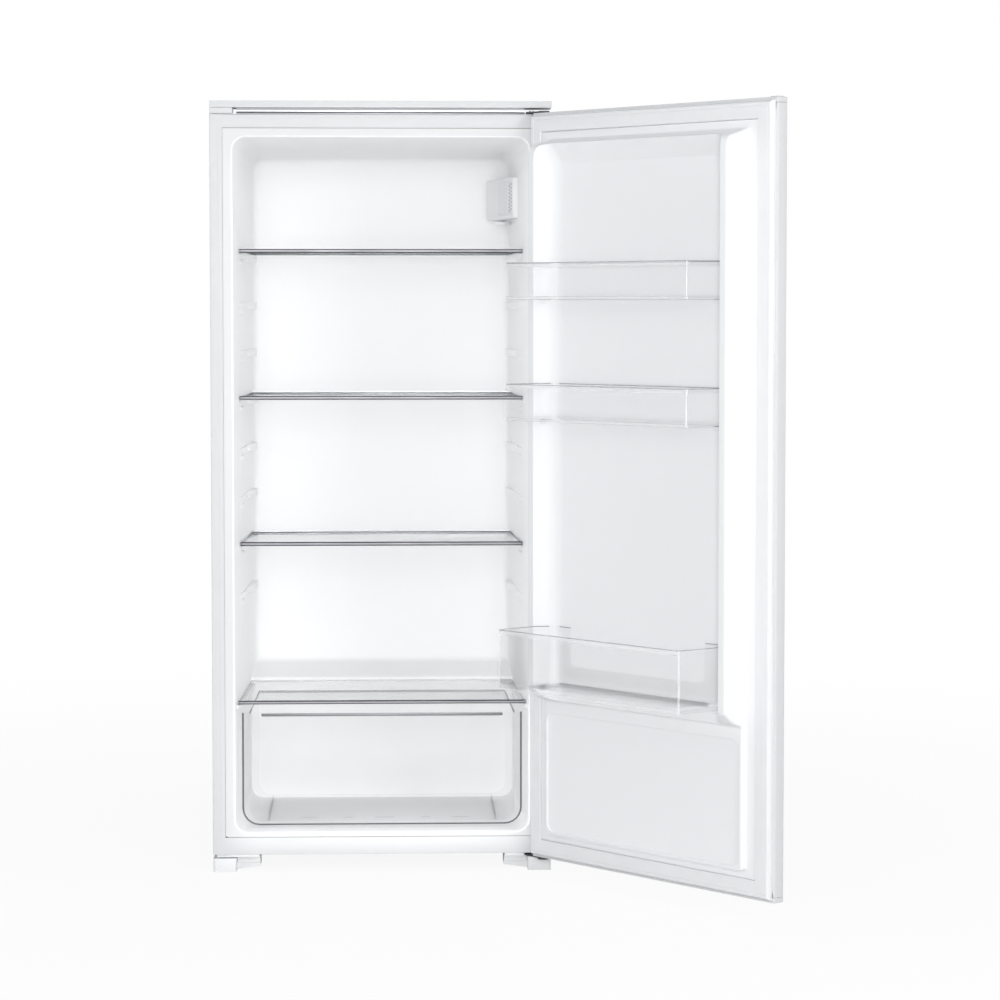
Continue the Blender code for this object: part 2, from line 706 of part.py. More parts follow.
def build_liner(plastic, foam_mat):
    """The inner liner with its ribs, and the foam round it."""
    low = at(-RAIL_HALF, 0, BOTTOM_RAIL_TOP + GAP)
    liner = box("inner_liner", low, at(RAIL_HALF, LINER_WALL, TOP_RAIL_BOTTOM - GAP), plastic)
    join(liner, cavity_shape("liner_outer_shape", LINER_WALL, -OVERRUN))
    front = box("liner_front_cut", at(-HALF, -OVERRUN - OVERRUN, 0), at(HALF, 0, CABINET_HEIGHT))
    cut(liner, cavity_shape("liner_inner_shape", 0.0, -OVERRUN - OVERRUN), front)
    for side, word in ((-1, "left"), (1, "right")):
        for i in range(RIB_LEVELS):
            join(liner, rib(f"rib_{word}_{i}", side, LOWEST_LEVEL + RIB_PITCH * i, RIB_START, RIB_END))
        join(liner, rib(f"ledge_{word}", side, LEDGE_LEVEL, LEDGE_START, LEDGE_END))
    cut(liner, drain_bore("drain_bore_in_liner"))

    front_depth = LINER_WALL + GAP
    back_depth = CASING_DEPTH - SHEET - SHEET - GAP - GAP
    lower = beside(pan_path(), SKIN + GAP)
    outline = [
        (front_depth, lower[0][1]),
        *lower[1:],
        (back_depth, lower[-1][1]),
        (back_depth, CASING_TOP - SHEET - SHEET - GAP - GAP),
        (front_depth, CASING_TOP - SHEET - SHEET - GAP - GAP),
    ]
    foam = prism("insulation_foam", outline, -INNER_HALF, INNER_HALF, "X", foam_mat)
    bevel(foam, FOLD_RADIUS, FOLD_STEPS, FOLD_ANGLE)
    pocket_back = CAVITY_DEPTH + LINER_WALL + EVAPORATOR_THICKNESS + GAP + GAP
    pocket = box(
        "evaporator_pocket",
        at(-EVAPORATOR_WIDTH / 2 - GAP, CAVITY_DEPTH, EVAPORATOR_BOTTOM - GAP),
        at(EVAPORATOR_WIDTH / 2 + GAP, pocket_back, EVAPORATOR_TOP + GAP),
    )
    cut(foam, cavity_shape("foam_inner_shape", LINER_WALL + GAP, -OVERRUN), pocket)
    cut(foam, drain_bore("drain_bore_in_foam"), suction_bore("suction_bore_in_foam"))


def build_shelf(names, level, width, front, depth, glass, silver):
    """A glass plate held in a metal channel at its front and, where a third name is given, at its back."""
    low = level + GAP
    high = low + TRIM_CHANNEL_HEIGHT
    skin = TRIM_CHANNEL_WALL / 2
    slide = pivot("slide_of_" + names[0], at(0, front, level))
    inside = TRIM_CHANNEL_WALL + GAP
    rear = front + depth - (inside if len(names) > 2 else 0)
    plate_low = at(-width / 2, front + inside, low + inside)
    plate = box(names[0], plate_low, at(width / 2, rear, low + inside + GLASS), glass)
    carry(plate, slide)
    for name, start, way in zip(names[1:], (front, front + depth), (1, -1)):
        outer = start + way * skin
        inner = start + way * TRIM_CHANNEL_REACH
        path = [(inner, high - skin), (outer, high - skin), (outer, low + skin), (inner, low + skin)]
        end = width / 2 + GAP
        channel = folded_sheet(name, path, -end, end, "X", TRIM_CHANNEL_WALL, silver, fold=0)
        carry(channel, slide)


def build_shelves(glass, silver):
    """Three shelves on the liner's ribs and the cover over the crisper."""
    for number, i in enumerate(reversed(SHELF_LEVELS), start=1):
        names = (f"shelf_glass_{number}", f"shelf_front_trim_{number}", f"shelf_rear_trim_{number}")
        level = LOWEST_LEVEL + RIB_PITCH * i
        build_shelf(names, level, SHELF_WIDTH, SHELF_FRONT, SHELF_DEPTH, glass, silver)
    names = ("crisper_cover", "crisper_cover_trim")
    build_shelf(names, LEDGE_LEVEL, COVER_WIDTH, COVER_FRONT, COVER_DEPTH, glass, silver)


def drawer_shape(name, by, bottom, top, mat=None):
    """The drawer's outer shape moved inwards by a distance."""
    outline = [
        (-DRAWER_WIDTH / 2, DRAWER_FRONT),
        (DRAWER_WIDTH / 2, DRAWER_FRONT),
        (DRAWER_BACK_WIDTH / 2, DRAWER_FRONT + DRAWER_DEPTH),
        (-DRAWER_BACK_WIDTH / 2, DRAWER_FRONT + DRAWER_DEPTH),
    ]
    return bevel(prism(name, inset(outline, by), bottom, top, "Z", mat), DRAWER_CORNER - by, CORNER_STEPS)


def build_drawer(clear, silver):
    """The crisper drawer with its runners and its handle trim."""
    slide = pivot("slide_of_crisper_drawer", at(0, DRAWER_FRONT, DRAWER_BOTTOM))
    above = DRAWER_TOP + OVERRUN + OVERRUN
    drawer = drawer_shape("crisper_drawer", 0.0, DRAWER_BOTTOM, DRAWER_TOP + OVERRUN, clear)
    inside = drawer_shape("drawer_inside", DRAWER_WALL, DRAWER_BOTTOM + DRAWER_WALL, above)
    lid = box("drawer_top_cut", at(-HALF, 0, DRAWER_TOP), at(HALF, CASING_DEPTH, above + OVERRUN))
    cut(drawer, inside, lid)
    for side, word in ((-1, "left"), (1, "right")):
        x = side * RUNNER_SPACING / 2
        low = at(x - RUNNER_WIDTH / 2, DRAWER_FRONT + DRAWER_CORNER, CAVITY_BOTTOM + GAP)
        rear = DRAWER_FRONT + DRAWER_DEPTH - DRAWER_CORNER
        high = at(x + RUNNER_WIDTH / 2, rear, DRAWER_BOTTOM + DRAWER_WALL / 2)
        join(drawer, box(f"runner_{word}", low, high))
    carry(drawer, slide)
    top = DRAWER_TOP - HANDLE_DROP
    low = at(-HANDLE_WIDTH / 2, DRAWER_FRONT - GAP - HANDLE_THICKNESS, top - HANDLE_HEIGHT)
    handle = box("drawer_handle_trim", low, at(HANDLE_WIDTH / 2, DRAWER_FRONT - GAP, top), silver, HANDLE_THICKNESS / 4)
    carry(handle, slide)


def housing_x(depth):
    """The housing's slanted face at a depth."""
    nose = cavity_half(HOUSING_NOSE) - NOSE_REACH
    middle = cavity_half(HOUSING_MIDDLE) - MIDDLE_REACH
    return nose + (middle - nose) * (depth - HOUSING_NOSE) / (HOUSING_MIDDLE - HOUSING_NOSE)


def build_housing(plastic, lens_mat, dial_mat):
    """The lamp and thermostat housing, its lens and its dial."""
    outline = [
        (cavity_half(HOUSING_START) - GAP, HOUSING_START),
        (cavity_half(HOUSING_END) - GAP, HOUSING_END),
        (cavity_half(HOUSING_BACK) - BACK_REACH, HOUSING_BACK),
        (housing_x(HOUSING_MIDDLE), HOUSING_MIDDLE),
        (housing_x(HOUSING_NOSE), HOUSING_NOSE),
    ]
    housing = prism("control_housing", outline, HOUSING_BOTTOM, HOUSING_TOP, "Z", plastic)
    bevel(housing, EDGE / 2)
    space = inset(outline, HOUSING_WALL)
    space[0] = (space[0][0] + OVERRUN, space[0][1])
    space[1] = (space[1][0] + OVERRUN, space[1][1])
    cut(housing, prism("housing_inside", space, HOUSING_BOTTOM + HOUSING_WALL, HOUSING_TOP - HOUSING_WALL, "Z"))
    level = (HOUSING_BOTTOM + HOUSING_TOP - LENS_HEIGHT) / 2
    window = []
    plate = []
    for depth, shrink in ((LENS_START, GAP), (LENS_END, -GAP)):
        window.append((housing_x(depth) - OVERRUN, depth))
        plate.append((housing_x(depth + shrink), depth + shrink))
    for depth, shrink in ((LENS_END, -GAP), (LENS_START, GAP)):
        window.append((housing_x(depth) + LENS_THICKNESS + EDGE, depth))
        plate.append((housing_x(depth + shrink) + LENS_THICKNESS, depth + shrink))
    cut(housing, prism("lens_window", window, level, level + LENS_HEIGHT, "Z"))
    prism("lamp_lens", plate, level + GAP, level + LENS_HEIGHT - GAP, "Z", lens_mat)

    centre = at(cavity_half(DIAL_DEPTH) - DIAL_REACH, DIAL_DEPTH, HOUSING_BOTTOM)
    cut(housing, cylinder("dial_bore", centre, DIAL_HUB_RADIUS + GAP, DIAL_HUB_HEIGHT))
    turn = pivot("thermostat_dial_axis", centre)
    disc_top = HOUSING_BOTTOM - GAP
    centre.z = disc_top - DIAL_THICKNESS / 2
    dial = cylinder("thermostat_dial", centre, DIAL_RADIUS, DIAL_THICKNESS, dial_mat)
    centre.z = disc_top - DIAL_THICKNESS / 2 + DIAL_HUB_HEIGHT / 2
    join(dial, cylinder("dial_hub", centre, DIAL_HUB_RADIUS, DIAL_HUB_HEIGHT))
    notch_low = centre + Vector((-DIAL_NOTCH / 2, -DIAL_RADIUS - DIAL_NOTCH, -DIAL_HUB_HEIGHT - DIAL_THICKNESS))
    notch_high = centre + Vector((DIAL_NOTCH / 2, -DIAL_RADIUS + DIAL_NOTCH, DIAL_HUB_HEIGHT))
    cut(dial, box("dial_notch", notch_low, notch_high))
    carry(dial, turn)


def slope_points(bottom, top, low, high):
    """Points from high at the top down to low at the bottom on a smooth S, as (depth, z)."""
    points = []
    for i in range(SLOPE_STEPS + 1):
        share = i / SLOPE_STEPS
        points.append((low + (high - low) * (1 + math.cos(math.pi * share)) / 2, top + (bottom - top) * share))
    return points


def round_end(by):
    """Points of the ridges' upper end, from its foot over the shoulder down to the crest, as (depth, z)."""
    shoulder = Vector((SHOULDER_HEIGHT - by, BULGE_TOP - SHOULDER_DROP - by))
    corner = Vector((CREST_HEIGHT - by, BULGE_TOP - ROUND_END_CONTROL_DROP - by))
    crest = Vector((CREST_HEIGHT - by, BULGE_TOP - ROUND_END_DROP - by))
    points = [(DOOR_LINER_BACK + LINER_WALL + GAP, BULGE_TOP - by)]
    for i in range(SLOPE_STEPS + 1):
        share = i / SLOPE_STEPS
        points.append(tuple(shoulder.lerp(corner, share).lerp(corner.lerp(crest, share), share)))
    return points


def bulge_shape(name, by, back):
    """The raised body of the door liner without its recess, moved inwards by a distance."""
    crest = CREST_HEIGHT - by
    plateau = PLATEAU_HEIGHT - by
    outline = [(back, BULGE_TOP - by), *round_end(by)]
    outline += slope_points(CREST_FOOT + by, CREST_BOTTOM + by, plateau, crest)
    outline += [(plateau, BULGE_BOTTOM + by), (back, BULGE_BOTTOM + by)]
    half = DOOR_HALF - BULGE_INSET - by
    return bevel(prism(name, outline, -half, half, "X"), BULGE_EDGE, FOLD_STEPS, FOLD_ANGLE)


def recess_half(depth):
    """Half of the width between the door liner's ridges at a depth."""
    share = (depth - RECESS_HEIGHT) / (CREST_HEIGHT - RECESS_HEIGHT)
    return DOOR_HALF - BULGE_INSET - CREST_WIDTH - RECESS_SLOPE * (1 - share)


def recess_shape(name, by):
    """The space between the ridges, widened and deepened by the distance that the liner's body is moved inwards."""
    floor = RECESS_HEIGHT - by
    rise = CREST_HEIGHT - RECESS_HEIGHT
    over = floor + rise + rise
    floor_half = recess_half(RECESS_HEIGHT) + by
    floor_top = BULGE_TOP - RECESS_TOP_DROP + by
    bottom = CREST_FOOT - RECESS_SLOPE
    outline = [(floor, bottom), (over, bottom), (over, floor_top + RECESS_TOP_SLOPE + RECESS_TOP_SLOPE), (floor, floor_top)]
    shape = prism(name, outline, -floor_half, floor_half, "X")
    for v in shape.data.vertices:
        if v.co.y - FRONT_Y > floor + GAP:
            v.co.x += math.copysign(RECESS_SLOPE + RECESS_SLOPE, v.co.x)
    return shape


def bulge_body(name, by, back):
    """The raised body of the door liner with its recess, moved inwards by a distance."""
    body = bulge_shape(name, by, back)
    return cut(body, recess_shape(name + "_recess", by))


def lug_outline(side, root, tip, start, end):
    """A lug's plan. Its root runs along the ridge's flank."""
    return [
        (side * (recess_half(start) + root), start),
        (side * (recess_half(end) + root), end),
        (side * tip, end),
        (side * tip, start),
    ]


def build_door(white, plastic, foam_mat, rubber, bush_mat):
    """The door's skin, end caps, hinge bushes, foam, liner and gasket. Returns the hinge pivot."""
    hinge = pivot("door_hinge_axis", at(HINGE_X, -HINGE_DEPTH, 0), math.radians(DOOR_ANGLE))
    low = DOOR_BOTTOM + DOOR_CAP + GAP
    high = DOOR_TOP - DOOR_CAP - GAP
    face = -DOOR_FACE + SKIN
    rim = -DOOR_BACK - SKIN
    edge = DOOR_HALF - SKIN
    lip = DOOR_HALF - DOOR_RETURN
    path = [(lip, rim), (edge, rim), (edge, face), (-edge, face), (-edge, rim), (-lip, rim)]
    carry(folded_sheet("door_skin", path, low, high, "Z", SHEET, white), hinge)

    for word, bottom, top in (("top", DOOR_TOP - DOOR_CAP, DOOR_TOP), ("bottom", DOOR_BOTTOM, DOOR_BOTTOM + DOOR_CAP)):
        corner = at(-DOOR_HALF, -DOOR_FACE, bottom)
        cap = box("door_cap_" + word, corner, at(DOOR_HALF, -DOOR_BACK, top), white, EDGE)
        centre = at(HINGE_X, -HINGE_DEPTH, (bottom + top) / 2)
        cut(cap, cylinder("bush_bore_" + word, centre, BUSH_RADIUS + GAP, DOOR_CAP + OVERRUN))
        if word == "top":
            tab_low = at(-DOOR_HALF + TAB_INSET, -DOOR_FACE + TAB_INSET, top - EDGE)
            tab_high = at(-DOOR_HALF + TAB_INSET + TAB_WIDTH, -DOOR_BACK - TAB_INSET, top + TAB_HEIGHT)
            join(cap, box("cap_tab", tab_low, tab_high))
        carry(cap, hinge)
        bush = cylinder("hinge_bush_" + word, centre, BUSH_RADIUS, DOOR_CAP, bush_mat)
        cut(bush, cylinder("pin_bore_" + word, centre, BUSH_RADIUS - BUSH_WALL, DOOR_CAP + OVERRUN))
        carry(bush, hinge)

    foam_half = DOOR_HALF - SHEET - GAP
    foam = box(
        "door_foam",
        at(-foam_half, -DOOR_FACE + SHEET + GAP, low),
        at(foam_half, -DOOR_BACK - SHEET - GAP, high),
        foam_mat,
        FOLD_RADIUS,
        FOLD_STEPS,
    )
    layer_half = DOOR_HALF - DOOR_RETURN - GAP
    layer = box(
        "foam_layer",
        at(-layer_half, -DOOR_BACK - DOOR_FOAM_LAP, low + FOLD_RADIUS),
        at(layer_half, -DOOR_BACK, high - FOLD_RADIUS),
    )
    join(foam, layer, bulge_body("foam_bulge", LINER_WALL + GAP, -DOOR_BACK - DOOR_FOAM_LAP))
    carry(foam, hinge)

    flange_half = DOOR_HALF - FLANGE_INSET
    liner = box(
        "door_liner",
        at(-flange_half, DOOR_LINER_BACK, DOOR_BOTTOM + FLANGE_INSET),
        at(flange_half, DOOR_LINER_BACK + LINER_WALL, DOOR_TOP - FLANGE_INSET),
        plastic,
    )
    join(liner, bulge_body("liner_bulge_outside", 0.0, DOOR_LINER_BACK - OVERRUN))
    behind = box(
        "liner_back_cut",
        at(-HALF, DOOR_LINER_BACK - OVERRUN - OVERRUN, 0),
        at(HALF, DOOR_LINER_BACK, CABINET_HEIGHT),
    )
    cut(liner, bulge_body("liner_bulge_inside", LINER_WALL, DOOR_LINER_BACK - OVERRUN - GAP), behind)
    tip = recess_half(LUG_START) - LUG_REACH
    for level in (*BIN_BOTTOMS, RACK_BOTTOM):
        for side in (-1, 1):
            outline = lug_outline(side, LINER_WALL / 2, tip, LUG_START, LUG_END)
            join(liner, prism("door_lug", outline, level - LUG_HEIGHT, level - GAP - GAP, "Z"))
    carry(liner, hinge)

    outer = DOOR_HALF - GASKET_INSET
    base = DOOR_LINER_BACK + LINER_WALL + GAP
    bottom = DOOR_BOTTOM + GASKET_INSET
    top = DOOR_TOP - GASKET_INSET
    gasket = box("door_gasket", at(-outer, base, bottom), at(outer, -GAP, top), rubber)
    for v in gasket.data.vertices:
        if v.co.y - FRONT_Y > base + GAP:
            v.co.x -= math.copysign(GASKET_SLOPE, v.co.x)
            v.co.z -= math.copysign(GASKET_SLOPE, v.co.z - (bottom + top) / 2)
    inner = outer - GASKET_WIDTH
    hole_low = at(-inner, base - OVERRUN, bottom + GASKET_WIDTH)
    cut(gasket, box("gasket_hole", hole_low, at(inner, OVERRUN, top - GASKET_WIDTH)))
    carry(gasket, hinge)
    return hinge


def build_bin(name, bottom, height, front, floor, mat, hinge):
    """A tray that hooks over two lugs on the door liner's ridges. Returns the tray and its pivot."""
    lift = pivot("lift_of_" + name, at(0, BIN_BACK, bottom), parent=hinge)
    rear_half = recess_half(BIN_BACK) - BIN_SIDE_CLEARANCE
    crest_half = recess_half(CREST_HEIGHT) - BIN_SIDE_CLEARANCE
    front_half = BIN_FRONT_WIDTH / 2
    outline = [
        (-rear_half, BIN_BACK),
        (rear_half, BIN_BACK),
        (crest_half, CREST_HEIGHT),
        (front_half, front),
        (-front_half, front),
        (-crest_half, CREST_HEIGHT),
    ]
    top = bottom + height
    tray = bevel(prism(name, outline, bottom, top + OVERRUN, "Z", mat), BIN_CORNER, FOLD_STEPS, FOLD_ANGLE)
    inside = prism(name + "_inside", inset(outline, BIN_WALL), bottom + floor, top + OVERRUN + OVERRUN, "Z")
    bevel(inside, BIN_CORNER - BIN_WALL, FOLD_STEPS, FOLD_ANGLE)
    lid = box(name + "_top_cut", at(-HALF, -OVERRUN, top), at(HALF, front + OVERRUN, top + OVERRUN + OVERRUN + OVERRUN))
    cut(tray, inside, lid)
    tip = recess_half(LUG_START) - LUG_REACH
    for side in (-1, 1):
        start = LUG_START - HOOK_WALL
        end = LUG_END + HOOK_WALL
        plan = lug_outline(side, -BIN_SIDE_CLEARANCE - GAP, tip - HOOK_WALL, start, end)
        hook = prism(name + "_hook", plan, bottom - LUG_HEIGHT, bottom + BIN_WALL / 2, "Z")
        plan = lug_outline(side, OVERRUN, tip - GAP, LUG_START - GAP, LUG_END + GAP)
        cut(hook, prism(name + "_hook_slot", plan, bottom - OVERRUN, bottom - GAP, "Z"))
        join(tray, hook)
    carry(tray, lift)
    return tray, lift


def build_bins(clear, hinge):
    """Two bins and the bottle rack, whose back wall is low and whose floor is raised."""
    for name, bottom in zip(BIN_NAMES, BIN_BOTTOMS):
        build_bin(name, bottom, BIN_HEIGHT, BIN_FRONT, BIN_WALL, clear, hinge)
    rack, lift = build_bin("bottle_rack", RACK_BOTTOM, RACK_HEIGHT, RACK_FRONT, RACK_FLOOR, clear, hinge)
    side = recess_half(LUG_START) - LUG_REACH - HOOK_WALL - HOOK_WALL
    margin = BIN_CORNER + BIN_WALL
    hollow = box(
        "rack_underside",
        at(-side, BIN_BACK + margin, RACK_BOTTOM - OVERRUN),
        at(side, RACK_FRONT - margin, RACK_BOTTOM + RACK_FLOOR - BIN_WALL),
    )
    rear = box(
        "rack_rear_cut",
        at(-RACK_REAR_CUT, 0, RACK_BOTTOM + RACK_REAR_HEIGHT),
        at(RACK_REAR_CUT, BIN_BACK + BIN_CORNER, RACK_BOTTOM + RACK_HEIGHT + OVERRUN),
    )
    cut(rack, hollow, rear)
    carry(rack, lift)


def bracket(name, plate_low, root_low, root_high, pin_low, pin_high, steel):
    """A hinge bracket: a root on the casing, a tongue with a round end, and the pin."""
    steps = range(ROUND // 2 + 1)
    tongue = []
    for i in steps:
        turn = -math.pi * i / (ROUND // 2)
        tongue.append((HINGE_X + BRACKET_ROUND * math.cos(turn), -HINGE_DEPTH + BRACKET_ROUND * math.sin(turn)))
    tongue.append((HINGE_X - BRACKET_ROUND, SCREW_DEPTH))
    tongue.append((HINGE_X + BRACKET_ROUND, SCREW_DEPTH))
    plate = prism(name, tongue, plate_low, plate_low + BRACKET_SHEET, "Z", steel)
    right = HINGE_X + BRACKET_ROUND + GAP
    root = box(
        name + "_root",
        at(right - BRACKET_ROOT_WIDTH, BRACKET_ROOT_START, root_low),
        at(right, BRACKET_ROOT_END, root_high),
    )
    pin = cylinder(name + "_pin", at(HINGE_X, -HINGE_DEPTH, (pin_low + pin_high) / 2), PIN_RADIUS, pin_high - pin_low)
    join(plate, root, pin)
    screw_x = right - BRACKET_ROOT_WIDTH + SCREW_INSET
    return plate, screw_x


def build_hinges(dark, steel):
    """The two brackets with their screws."""
    plate_top = UPPER_BRACKET_BOTTOM + BRACKET_SHEET
    plate_middle = UPPER_BRACKET_BOTTOM + BRACKET_SHEET / 2
    root_low = CASING_TOP + GAP
    root_high = plate_top + GAP
    pin_end = UPPER_BRACKET_BOTTOM - PIN_REACH
    upper, screw_x = bracket("upper_hinge", UPPER_BRACKET_BOTTOM, root_low, root_high, pin_end, plate_middle, dark)
    middle = (root_low + root_high) / 2
    cut(upper, cylinder("upper_screw_bore", at(screw_x, SCREW_DEPTH, middle), SCREW_SHANK + GAP, OVERRUN))
    head = at(screw_x, SCREW_DEPTH, root_high + GAP + SCREW_HEAD / 2)
    screw = cylinder("upper_hinge_screw", head, SCREW_RADIUS, SCREW_HEAD, steel)
    length = root_high + SCREW_HEAD / 2 - root_low
    join(screw, cylinder("upper_shank", at(screw_x, SCREW_DEPTH, root_low + length / 2), SCREW_SHANK, length))

    plate_top = LOWER_BRACKET_BOTTOM + BRACKET_SHEET
    plate_middle = LOWER_BRACKET_BOTTOM + BRACKET_SHEET / 2
    root_low = LOWER_BRACKET_BOTTOM - GAP
    root_high = CASING_BOTTOM - GAP
    lower, screw_x = bracket(
        "lower_hinge", LOWER_BRACKET_BOTTOM, root_low, root_high, plate_middle, plate_top + PIN_REACH, dark
    )
    washer = at(HINGE_X, -HINGE_DEPTH, plate_middle + (WASHER_HEIGHT + BRACKET_SHEET / 2) / 2)
    join(lower, cylinder("lower_washer", washer, WASHER_RADIUS, WASHER_HEIGHT + BRACKET_SHEET / 2))
    middle = (root_low + root_high) / 2
    cut(lower, cylinder("lower_screw_bore", at(screw_x, SCREW_DEPTH, middle), SCREW_SHANK + GAP, OVERRUN))
    head = at(screw_x, SCREW_DEPTH, root_low - GAP - SCREW_HEAD / 2)
    screw = cylinder("lower_hinge_screw", head, SCREW_RADIUS, SCREW_HEAD, steel)
    length = root_high + SCREW_HEAD / 2 - root_low
    join(screw, cylinder("lower_shank", at(screw_x, SCREW_DEPTH, root_high - length / 2), SCREW_SHANK, length))
    return head


def build_feet(plastic, screw_place):
    """The front foot blocks with their wings. The right one has a pocket for the hinge screw's head."""
    for side, name in ((-1, "foot_left"), (1, "foot_right")):
        def across(low, high):
            return sorted((side * low, side * high))

        near, far = across(HALF - FOOT_BLOCK_WIDTH, HALF - GAP)
        foot = box(name, at(near, FOOT_START, 0), at(far, FOOT_END, FOOT_HEIGHT), plastic)
        near, far = across(HALF - FOOT_WING_END, HALF - FOOT_BLOCK_WIDTH + FOOT_POST_INSET)
        low = at(near, FOOT_WING_START, FOOT_WING_BOTTOM)
        wing = box(name + "_wing", low, at(far, FOOT_END - EDGE, FOOT_WING_TOP))
        near, far = across(HALF - FOOT_BLOCK_WIDTH + FOOT_POST_INSET, HALF - FOOT_POST_INSET)
        low = at(near, FOOT_POST_START, FOOT_HEIGHT - FOOT_POST_INSET)
        post = box(name + "_post", low, at(far, FOOT_END - EDGE, CASING_BOTTOM - GAP))
        join(foot, wing, post)
        if side > 0:
            pocket = screw_place.copy()
            pocket.z += OVERRUN / 2 - SCREW_HEAD / 2 - GAP
            cut(foot, cylinder("screw_head_pocket", pocket, SCREW_RADIUS + GAP, OVERRUN))


def build_base(steel, dark, rubber, plastic):
    """The base plate with the compressor, its mounts, its relay box, the drip tray and the drain tube."""
    skin = BASE_PLATE_SHEET / 2
    front = BASE_PLATE_FRONT + skin
    rear = BASE_PLATE_REAR - skin
    path = [(front, BASE_PLATE_EDGE), (front, skin), (rear, skin), (rear, BASE_PLATE_EDGE)]
    plate = folded_sheet("base_plate", path, -INNER_HALF + GAP, INNER_HALF - GAP, "X", BASE_PLATE_SHEET, steel)
    for side, word in ((-1, "left"), (1, "right")):
        near, far = sorted((side * (INNER_HALF - BASE_PLATE_SHEET), side * INNER_HALF))
        low = at(near, BASE_PLATE_FRONT + BASE_PLATE_EAR_INSET, skin)
        high = at(far, CASING_DEPTH - BASE_PLATE_EAR_INSET, BASE_PLATE_EAR)
        join(plate, box("base_plate_ear_" + word, low, high))

    def span(length, breadth, low, high, shift=0.0):
        corner = at(COMPRESSOR_X + shift - length / 2, PLATE_MIDDLE - breadth / 2, low)
        return corner, at(COMPRESSOR_X + shift + length / 2, PLATE_MIDDLE + breadth / 2, high)

    shell = span(COMPRESSOR_LENGTH, COMPRESSOR_BREADTH, COMPRESSOR_BOTTOM, COMPRESSOR_TOP)
    compressor = box("compressor", *shell, dark, COMPRESSOR_ROUND, CORNER_STEPS)
    under = COMPRESSOR_BOTTOM - GAP
    feet = span(FOOT_PLATE_LENGTH, FOOT_PLATE_BREADTH, under, under + FOOT_PLATE_SHEET)
    join(compressor, box("compressor_foot_plate", *feet))
    low = BASE_PLATE_SHEET + GAP
    for side, word in ((-1, "left"), (1, "right")):
        centre = at(COMPRESSOR_X + side * GROMMET_SPACING / 2, PLATE_MIDDLE, (low + under - GAP) / 2)
        cylinder("compressor_mount_" + word, centre, GROMMET_RADIUS, under - GAP - low, rubber)
    shift = -COMPRESSOR_LENGTH / 2 - GAP - RELAY_WIDTH / 2
    relay = span(RELAY_WIDTH, RELAY_BREADTH, RELAY_BOTTOM, RELAY_BOTTOM + RELAY_HEIGHT, shift)
    box("relay_box", *relay, plastic, EDGE)
    gland_x = relay[0].x - GAP - GLAND_LENGTH / 2
    gland = at(gland_x, PLATE_MIDDLE, RELAY_BOTTOM + RELAY_HEIGHT / 2)
    cylinder("cord_gland", gland, GLAND_RADIUS, GLAND_LENGTH, rubber, "X")
    base = COMPRESSOR_TOP + GAP
    tray = box("drip_tray", *span(TRAY_LENGTH, TRAY_BREADTH, base, base + TRAY_HEIGHT), plastic)
    length = TRAY_LENGTH - TRAY_WALL - TRAY_WALL
    breadth = TRAY_BREADTH - TRAY_WALL - TRAY_WALL
    cut(tray, box("tray_inside", *span(length, breadth, base + TRAY_WALL, base + TRAY_HEIGHT + OVERRUN)))
    centre = at(COMPRESSOR_X, DRAIN_DEPTH, (DRAIN_TOP + DRAIN_END) / 2)
    drain = cylinder("drain_tube", centre, DRAIN_RADIUS, DRAIN_TOP - DRAIN_END, plastic)
    cut(drain, cylinder("drain_tube_bore", centre, DRAIN_RADIUS - DRAIN_WALL, DRAIN_TOP - DRAIN_END + OVERRUN))


